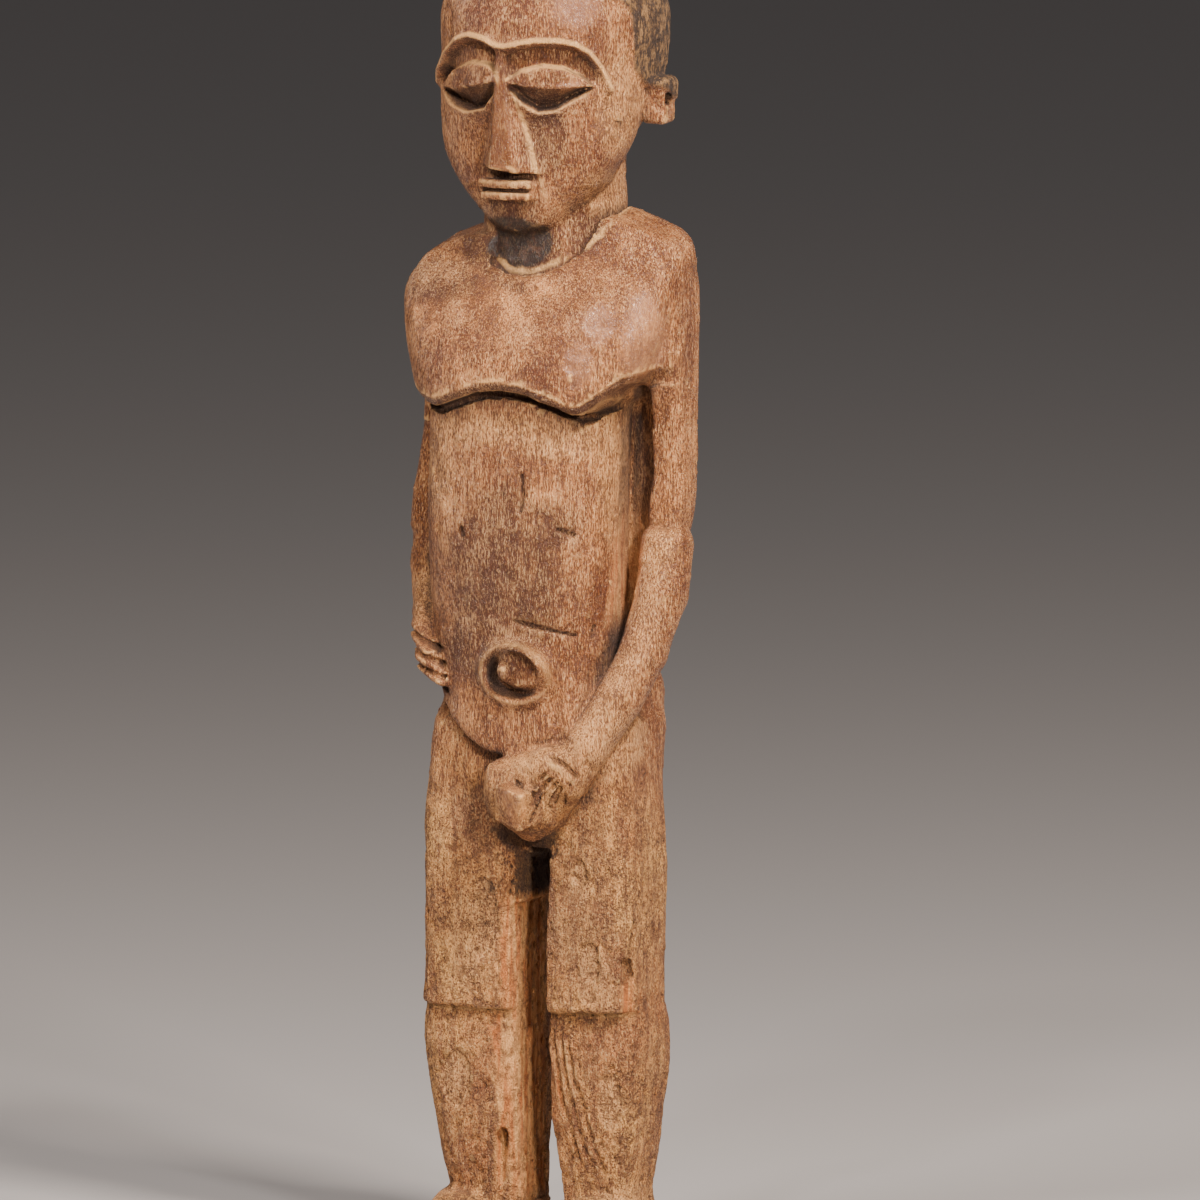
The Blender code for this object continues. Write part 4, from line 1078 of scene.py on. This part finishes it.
def stains_and_painted_shadows(points):
    """Dark patches: stains and patina, painted shade under the brows and lids, painted shadows of the chin
    and head on the neck and chest, and a darker chest ledge bevel.
    """
    x, y, z = points.T
    # Painted shadow of the chin on the neck's front.
    neck = spot(points, NECK_FRONT_CHIN_SHADOW) * ramp(-y, 26.0, 36.0)
    over = z - ledge_height(x)
    bevel = 0.8 * ramp(over, -1.0, 1.0) * ramp(-over, -11.5, -10.0) * ramp(-y, 14.0, 30.0)
    # Stains and patina, with the painted shade from the face and the painted shadow line of the head.
    return np.maximum.reduce([0.8 * spot(points, STAINS_AND_SHADOWS), 0.8 * face_patina_and_shade(points), neck, bevel,
                              0.75 * along(points, HEAD_SHADOW_ON_SHOULDER, 12.0)])


def pale_wood_and_highlights(points):
    """Bleached patches and the peeled places, with painted highlights along the left forearm and on lit
    strips down the figure's left side of the torso, neck and temple.
    """
    return np.maximum.reduce([0.85 * spot(points, PALE_PATCHES_AND_HIGHLIGHTS), along(points, FOREARM_HIGHLIGHT, 20.0),
                              1.4 * peeled(points)])


def hair_share(points):
    """Share of the surface, 0 to 1, that is hair."""
    x, y, z = points.T
    line = height_on(HAIRLINE, np.abs(face_angle(x, y)))
    return ramp(z - line, -1.0, 3.0) * ramp(z, 840.0, 860.0)


def paint_marks(mesh, wood, origin):
    """Stores on the mesh where the wood is hollow (painted shade), worn (with a painted highlight), raw,
    hair, darkened by stains or painted shadow, pale or painted highlit, or polished.
    """
    points, normals, edges = mesh_arrays(mesh, origin)
    raised = bulge(points, normals, edges, 4)
    depth = np.maximum(hollow_at(wood, points, normals, 5.0), hollow_at(wood, points, normals, 16.0))
    raw = raw_wood(points, normals, depth)
    marks = {"hollow": shaded_hollows_and_cracks(points, depth, raised, raw), "worn": worn_edges_and_nose_highlight(points, raised),
             "raw": raw, "hair": hair_share(points), "stain_and_shade": stains_and_painted_shadows(points),
             "pale": pale_wood_and_highlights(points), "polish": spot(points, POLISHED)}
    for name, values in marks.items():
        layer = mesh.attributes.new(name, "FLOAT", "POINT")
        layer.data.foreach_set("value", np.clip(values, 0.0, 1.0).astype(np.float32))


class Value:
    """A shader socket; sums and products written on it add Math nodes."""

    def __init__(self, tree, socket):
        self.tree = tree
        self.socket = socket

    def join(self, operation, first, second):
        node = self.tree.nodes.new("ShaderNodeMath")
        node.operation = operation
        for slot, item in zip(node.inputs, (first, second)):
            if isinstance(item, Value):
                self.tree.links.new(item.socket, slot)
            else:
                slot.default_value = item
        return Value(self.tree, node.outputs[0])

    def __add__(self, other):
        return self.join("ADD", self, other)

    def __radd__(self, other):
        return self.join("ADD", other, self)

    def __sub__(self, other):
        return self.join("SUBTRACT", self, other)

    def __rsub__(self, other):
        return self.join("SUBTRACT", other, self)

    def __mul__(self, other):
        return self.join("MULTIPLY", self, other)

    def __rmul__(self, other):
        return self.join("MULTIPLY", other, self)

    def __truediv__(self, other):
        return self.join("DIVIDE", self, other)

    def at_least(self, other):
        return self.join("MAXIMUM", self, other)

    def at_most(self, other):
        return self.join("MINIMUM", self, other)

    def clamped(self):
        return self.at_least(0.0).at_most(1.0)

    def step(self, start, end):
        """0 before start, 1 after end."""
        return ((self - start) / (end - start)).clamped()


class Finish:
    """One material and its nodes."""

    def __init__(self, name):
        self.material = bpy.data.materials.new(name)
        self.material.use_nodes = True
        self.tree = self.material.node_tree
        self.surface = self.tree.nodes["Principled BSDF"]

    def node(self, kind, settings=None, inputs=None, output=0):
        node = self.tree.nodes.new(kind)
        for key, value in (settings or {}).items():
            setattr(node, key, value)
        for key, value in (inputs or {}).items():
            self.feed(node.inputs[key], value)
        return Value(self.tree, node.outputs[output])

    def feed(self, socket, value):
        if isinstance(value, Value):
            self.tree.links.new(value.socket, socket)
        else:
            socket.default_value = value

    def place(self, stretch, wobble=0.0):
        """Object coordinates, stretched per axis; wobble bends them a little."""
        coordinates = self.node("ShaderNodeTexCoord", output="Object")
        placed = self.node("ShaderNodeMapping", None, {"Vector": coordinates, "Scale": stretch})
        if wobble == 0.0:
            return placed
        drift = self.node("ShaderNodeTexNoise", None, {"Vector": placed, "Scale": 0.6}, output="Color")
        return self.node("ShaderNodeVectorMath", {"operation": "MULTIPLY_ADD"},
                         {0: drift, 1: (wobble, wobble, wobble), 2: placed})

    def noise(self, stretch, detail=3.0, roughness=0.6, distortion=0.0):
        return self.node("ShaderNodeTexNoise", None, {
            "Vector": self.place(stretch), "Scale": 1.0, "Detail": detail,
            "Roughness": roughness, "Distortion": distortion}, output="Fac")

    def cells(self, stretch):
        """Distance from the borders of scale-like cells."""
        return self.node("ShaderNodeTexVoronoi", {"feature": "DISTANCE_TO_EDGE"}, {
            "Vector": self.place(stretch, 2.2), "Scale": 1.0}, output="Distance")

    def mark(self, name):
        return self.node("ShaderNodeAttribute", {"attribute_name": name}, output="Fac")

    def blend(self, share, first, second):
        """First colour where the share is 0, second where it is 1."""
        return self.node("ShaderNodeMix", {"data_type": "RGBA", "clamp_factor": True},
                         {0: share, 6: first, 7: second}, output=2)


def colour(red, green, blue):
    """A colour from its screen values, 0 to 255, as the shader's linear colour."""
    def linear(value):
        value = value / 255.0
        return value / 12.92 if value <= 0.04045 else ((value + 0.055) / 1.055) ** 2.4
    return (linear(red), linear(green), linear(blue), 1.0)


def carved_wood():
    """Worn hardwood: vertical flecks, patina patches, painted shade and shadows, pale worn edges and
    painted highlights, dark cuts, crusty legs.
    """
    f = Finish("carved_wood")
    height = f.node("ShaderNodeSeparateXYZ", None, {"Vector": f.place((1, 1, 1))}, output="Z")
    patches = f.noise((17, 17, 13), 4.0, 0.65)
    clouds = f.noise((60, 60, 42), 3.0, 0.6, 0.3)
    legs_share = 1.0 - (height + (clouds - 0.5) * 0.06).step(0.225, 0.265)
    streaks = f.noise((210, 210, 20), 3.0, 0.65, 0.3)
    flecks = f.noise((1900, 1900, 420), 2.0, 0.6)
    long_flecks = f.noise((1100, 1100, 110), 2.0, 0.6)
    pits = f.noise((1150, 1150, 800), 3.0, 0.65, 0.5)
    fine = f.noise((2800, 2800, 1100), 1.0, 0.6)
    crust = f.noise((230, 230, 170), 5.0, 0.72)
    scales = f.cells((200, 200, 250))
    hollow, worn, raw = f.mark("hollow"), f.mark("worn"), f.mark("raw")
    hair, stain_and_shade, pale = f.mark("hair"), f.mark("stain_and_shade"), f.mark("pale")
    polish = f.mark("polish")
    plainer = (1.0 - polish * 0.6) * (1.0 - stain_and_shade.step(0.82, 0.96) * 0.8)

    body = f.blend(patches.step(0.36, 0.62), colour(124, 63, 28), colour(206, 134, 78))
    body = f.blend(streaks.step(0.46, 0.62) * 0.6, body, colour(112, 56, 26))
    # Darker in that mark's patches: stains and patina, with painted shade under brows and lids and painted
    # shadows of the chin and head.
    body = f.blend((stain_and_shade + (clouds - 0.5) * 1.6 * stain_and_shade).clamped() * 0.85, body, colour(74, 36, 18))
    # Painted shadow of the chin on the neck's front, near black.
    body = f.blend(stain_and_shade.step(0.80, 0.95) * 0.95, body, colour(12, 6, 3))
    body = f.blend((polish - stain_and_shade).clamped() * 0.5, body, colour(148, 106, 82))
    leg = f.blend(patches.step(0.34, 0.64), colour(184, 108, 50), colour(234, 166, 90))
    leg = f.blend(streaks.step(0.46, 0.60) * 0.7, leg, colour(128, 70, 32))
    leg = f.blend(stain_and_shade * 0.45, leg, colour(130, 84, 52))
    shade = f.blend(legs_share, body, leg)
    # Lighter on bleached and peeled places, and painted highlights on the left forearm and lit strips of
    # the torso, neck and temple.
    shade = f.blend((pale + (clouds - 0.5) * 1.4 * pale).clamped() * 0.62, shade, colour(228, 162, 100))

    tone = flecks + (long_flecks - 0.5) * 0.55 + (clouds - 0.5) * 0.35
    tone = tone + (pits - tone) * legs_share * 0.65
    dark_flecks = tone.step(0.50, 0.60)
    light_flecks = (1.0 - tone + (fine - 0.5) * 0.5).step(0.53, 0.64)
    specks = fine.step(0.55, 0.66)
    scale_lines = (1.0 - scales.step(0.03, 0.13)) * crust.step(0.42, 0.56) * clouds.step(0.42, 0.58)
    crust_spots = crust.step(0.53, 0.60)
    fleck_tone = f.blend(legs_share, colour(78, 36, 14), colour(98, 46, 16))
    shade = f.blend(dark_flecks * plainer * (0.80 + legs_share * 0.08), shade, fleck_tone)
    shade = f.blend(light_flecks * plainer * (0.34 + legs_share * 0.20), shade, colour(255, 206, 144))
    shade = f.blend(specks * plainer * 0.34, shade, colour(78, 40, 18))
    shade = f.blend(scale_lines * (0.34 + legs_share * 0.26), shade, colour(78, 42, 20))
    shade = f.blend(crust_spots * (0.10 + legs_share * 0.36), shade, colour(140, 84, 42))
    # Pale rubbed edges and scratches, with the painted highlight beside the nose.
    rubbed = (worn * 1.4 + (flecks - 0.5) * 1.6).clamped() * worn.step(0.05, 0.45)
    shade = f.blend(rubbed * 0.72, shade, colour(244, 184, 116))
    raw_tone = f.blend(streaks.step(0.40, 0.60), colour(204, 118, 56), colour(248, 180, 110))
    raw_tone = f.blend(crust_spots * 0.45, raw_tone, colour(112, 52, 20))
    shade = f.blend(raw * 0.92, shade, raw_tone)
    mottle = (crust + (long_flecks - 0.5) * 0.5).step(0.48, 0.58)
    mottled = f.blend(mottle, colour(38, 24, 13), colour(142, 104, 62))
    shade = f.blend(hair * 0.92, shade, mottled)
    # Painted shade: near black in hollows, concave creases, the gap's top opening and the armpit's top;
    # the same dark in the drying cracks and cuts.
    shade = f.blend((hollow * 1.25 - 0.45).clamped() * 0.96, shade, colour(40, 21, 9))
    f.feed(f.surface.inputs["Base Color"], shade)
    f.surface.inputs["Specular IOR Level"].default_value = 0.6

    rough = 0.34 + legs_share * 0.32 + hair * 0.2 + raw * 0.3 + hollow * 0.25 - polish * 0.16
    rough = rough + (crust - 0.5) * 0.35 + dark_flecks * 0.12
    f.feed(f.surface.inputs["Roughness"], rough.at_least(0.18).at_most(0.95))
    relief = light_flecks * 0.5 - dark_flecks * 0.9 - scale_lines * (0.5 + legs_share * 0.8)
    relief = relief - crust_spots * (0.2 + legs_share * 0.9) - specks * 0.6 + fine * 0.5
    relief = relief * plainer * (0.75 + legs_share * 0.65)
    bumped = f.node("ShaderNodeBump", None, {"Strength": 1.0, "Distance": 0.0007, "Height": relief},
                    output="Normal")
    f.feed(f.surface.inputs["Normal"], bumped)
    return f.material


def plain(name, tone, roughness):
    f = Finish(name)
    f.surface.inputs["Base Color"].default_value = tone
    f.surface.inputs["Roughness"].default_value = roughness
    return f.material


# The carved figure
wood = carve()
skin_points, skin_quads = skin(wood)
middle = (skin_points.min(axis=0) + skin_points.max(axis=0)) * 0.5
origin = np.array((middle[0], middle[1], 0.0))
mesh = figure_mesh(skin_points, skin_quads, origin)
paint_marks(mesh, wood, origin)
mesh.materials.clear()
mesh.materials.append(carved_wood())
figure = bpy.data.objects.new("carved_figure", mesh)
bpy.context.scene.collection.objects.link(figure)
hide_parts("figure")
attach(figure, "root")


def view_axes(azimuth, elevation):
    """Right, up and forward of a view from the given side."""
    right = Vector((math.cos(azimuth), math.sin(azimuth), 0.0))
    forward = Vector((-math.sin(azimuth) * math.cos(elevation),
                      math.cos(azimuth) * math.cos(elevation), -math.sin(elevation)))
    return right, right.cross(forward), forward


def floor():
    sheet = bpy.data.meshes.new("floor")
    corners = [(x * FLOOR_HALF, y * FLOOR_HALF, 0) for x, y in ((-1, -1), (1, -1), (1, 1), (-1, 1))]
    sheet.from_pydata(corners, [], [(0, 1, 2, 3)])
    sheet.materials.append(plain("floor_grey", colour(160, 154, 152), 0.8))
    item = bpy.data.objects.new("floor", sheet)
    bpy.context.scene.collection.objects.link(item)


def camera():
    right, up, forward = view_axes(VIEW_AZIMUTH, VIEW_HEIGHT)
    shift = Vector((-float(origin[0]), -float(origin[1]), 0.0)) * PART
    across, above = PHOTO_SIZE / 2 - AXIS_COLUMN, GROUND_ROW - PHOTO_SIZE / 2
    aim = right * (across * PIXEL) + up * (above * PIXEL) + shift
    lens = bpy.data.cameras.new("camera")
    lens.sensor_width = 36.0
    lens.lens = 36.0 * VIEW_DISTANCE / (PHOTO_SIZE * PIXEL)
    item = bpy.data.objects.new("camera", lens)
    item.location = aim - forward * VIEW_DISTANCE
    item.rotation_euler = forward.to_track_quat("-Z", "Y").to_euler()
    bpy.context.scene.collection.objects.link(item)
    bpy.context.scene.camera = item


def lamp(name, azimuth, elevation, distance, size, power, tint):
    forward = view_axes(math.radians(azimuth), math.radians(elevation))[2]
    light = bpy.data.lights.new(name, "AREA")
    light.size = size
    light.energy = power
    light.color = tint
    item = bpy.data.objects.new(name, light)
    item.location = Vector((0.0, 0.0, LAMPS_AIM)) - forward * distance
    item.rotation_euler = forward.to_track_quat("-Z", "Y").to_euler()
    bpy.context.scene.collection.objects.link(item)


def room_light(strength):
    world = bpy.data.worlds.new("room")
    world.use_nodes = True
    background = world.node_tree.nodes["Background"]
    background.inputs["Color"].default_value = (0.42, 0.41, 0.42, 1.0)
    background.inputs["Strength"].default_value = strength
    bpy.context.scene.world = world


floor()
camera()
lamp("key", 60.0, 50.0, 2.2, 0.34, 98.0, (1.0, 0.92, 0.83))
lamp("low_front", 46.0, 15.0, 3.0, 0.30, 78.0, (1.0, 0.94, 0.88))
lamp("glint", 9.0, 38.0, 2.5, 0.18, 20.0, (1.0, 0.97, 0.94))
lamp("fill", -26.0, 50.0, 2.6, 0.8, 62.0, (1.0, 0.94, 0.88))
room_light(0.24)
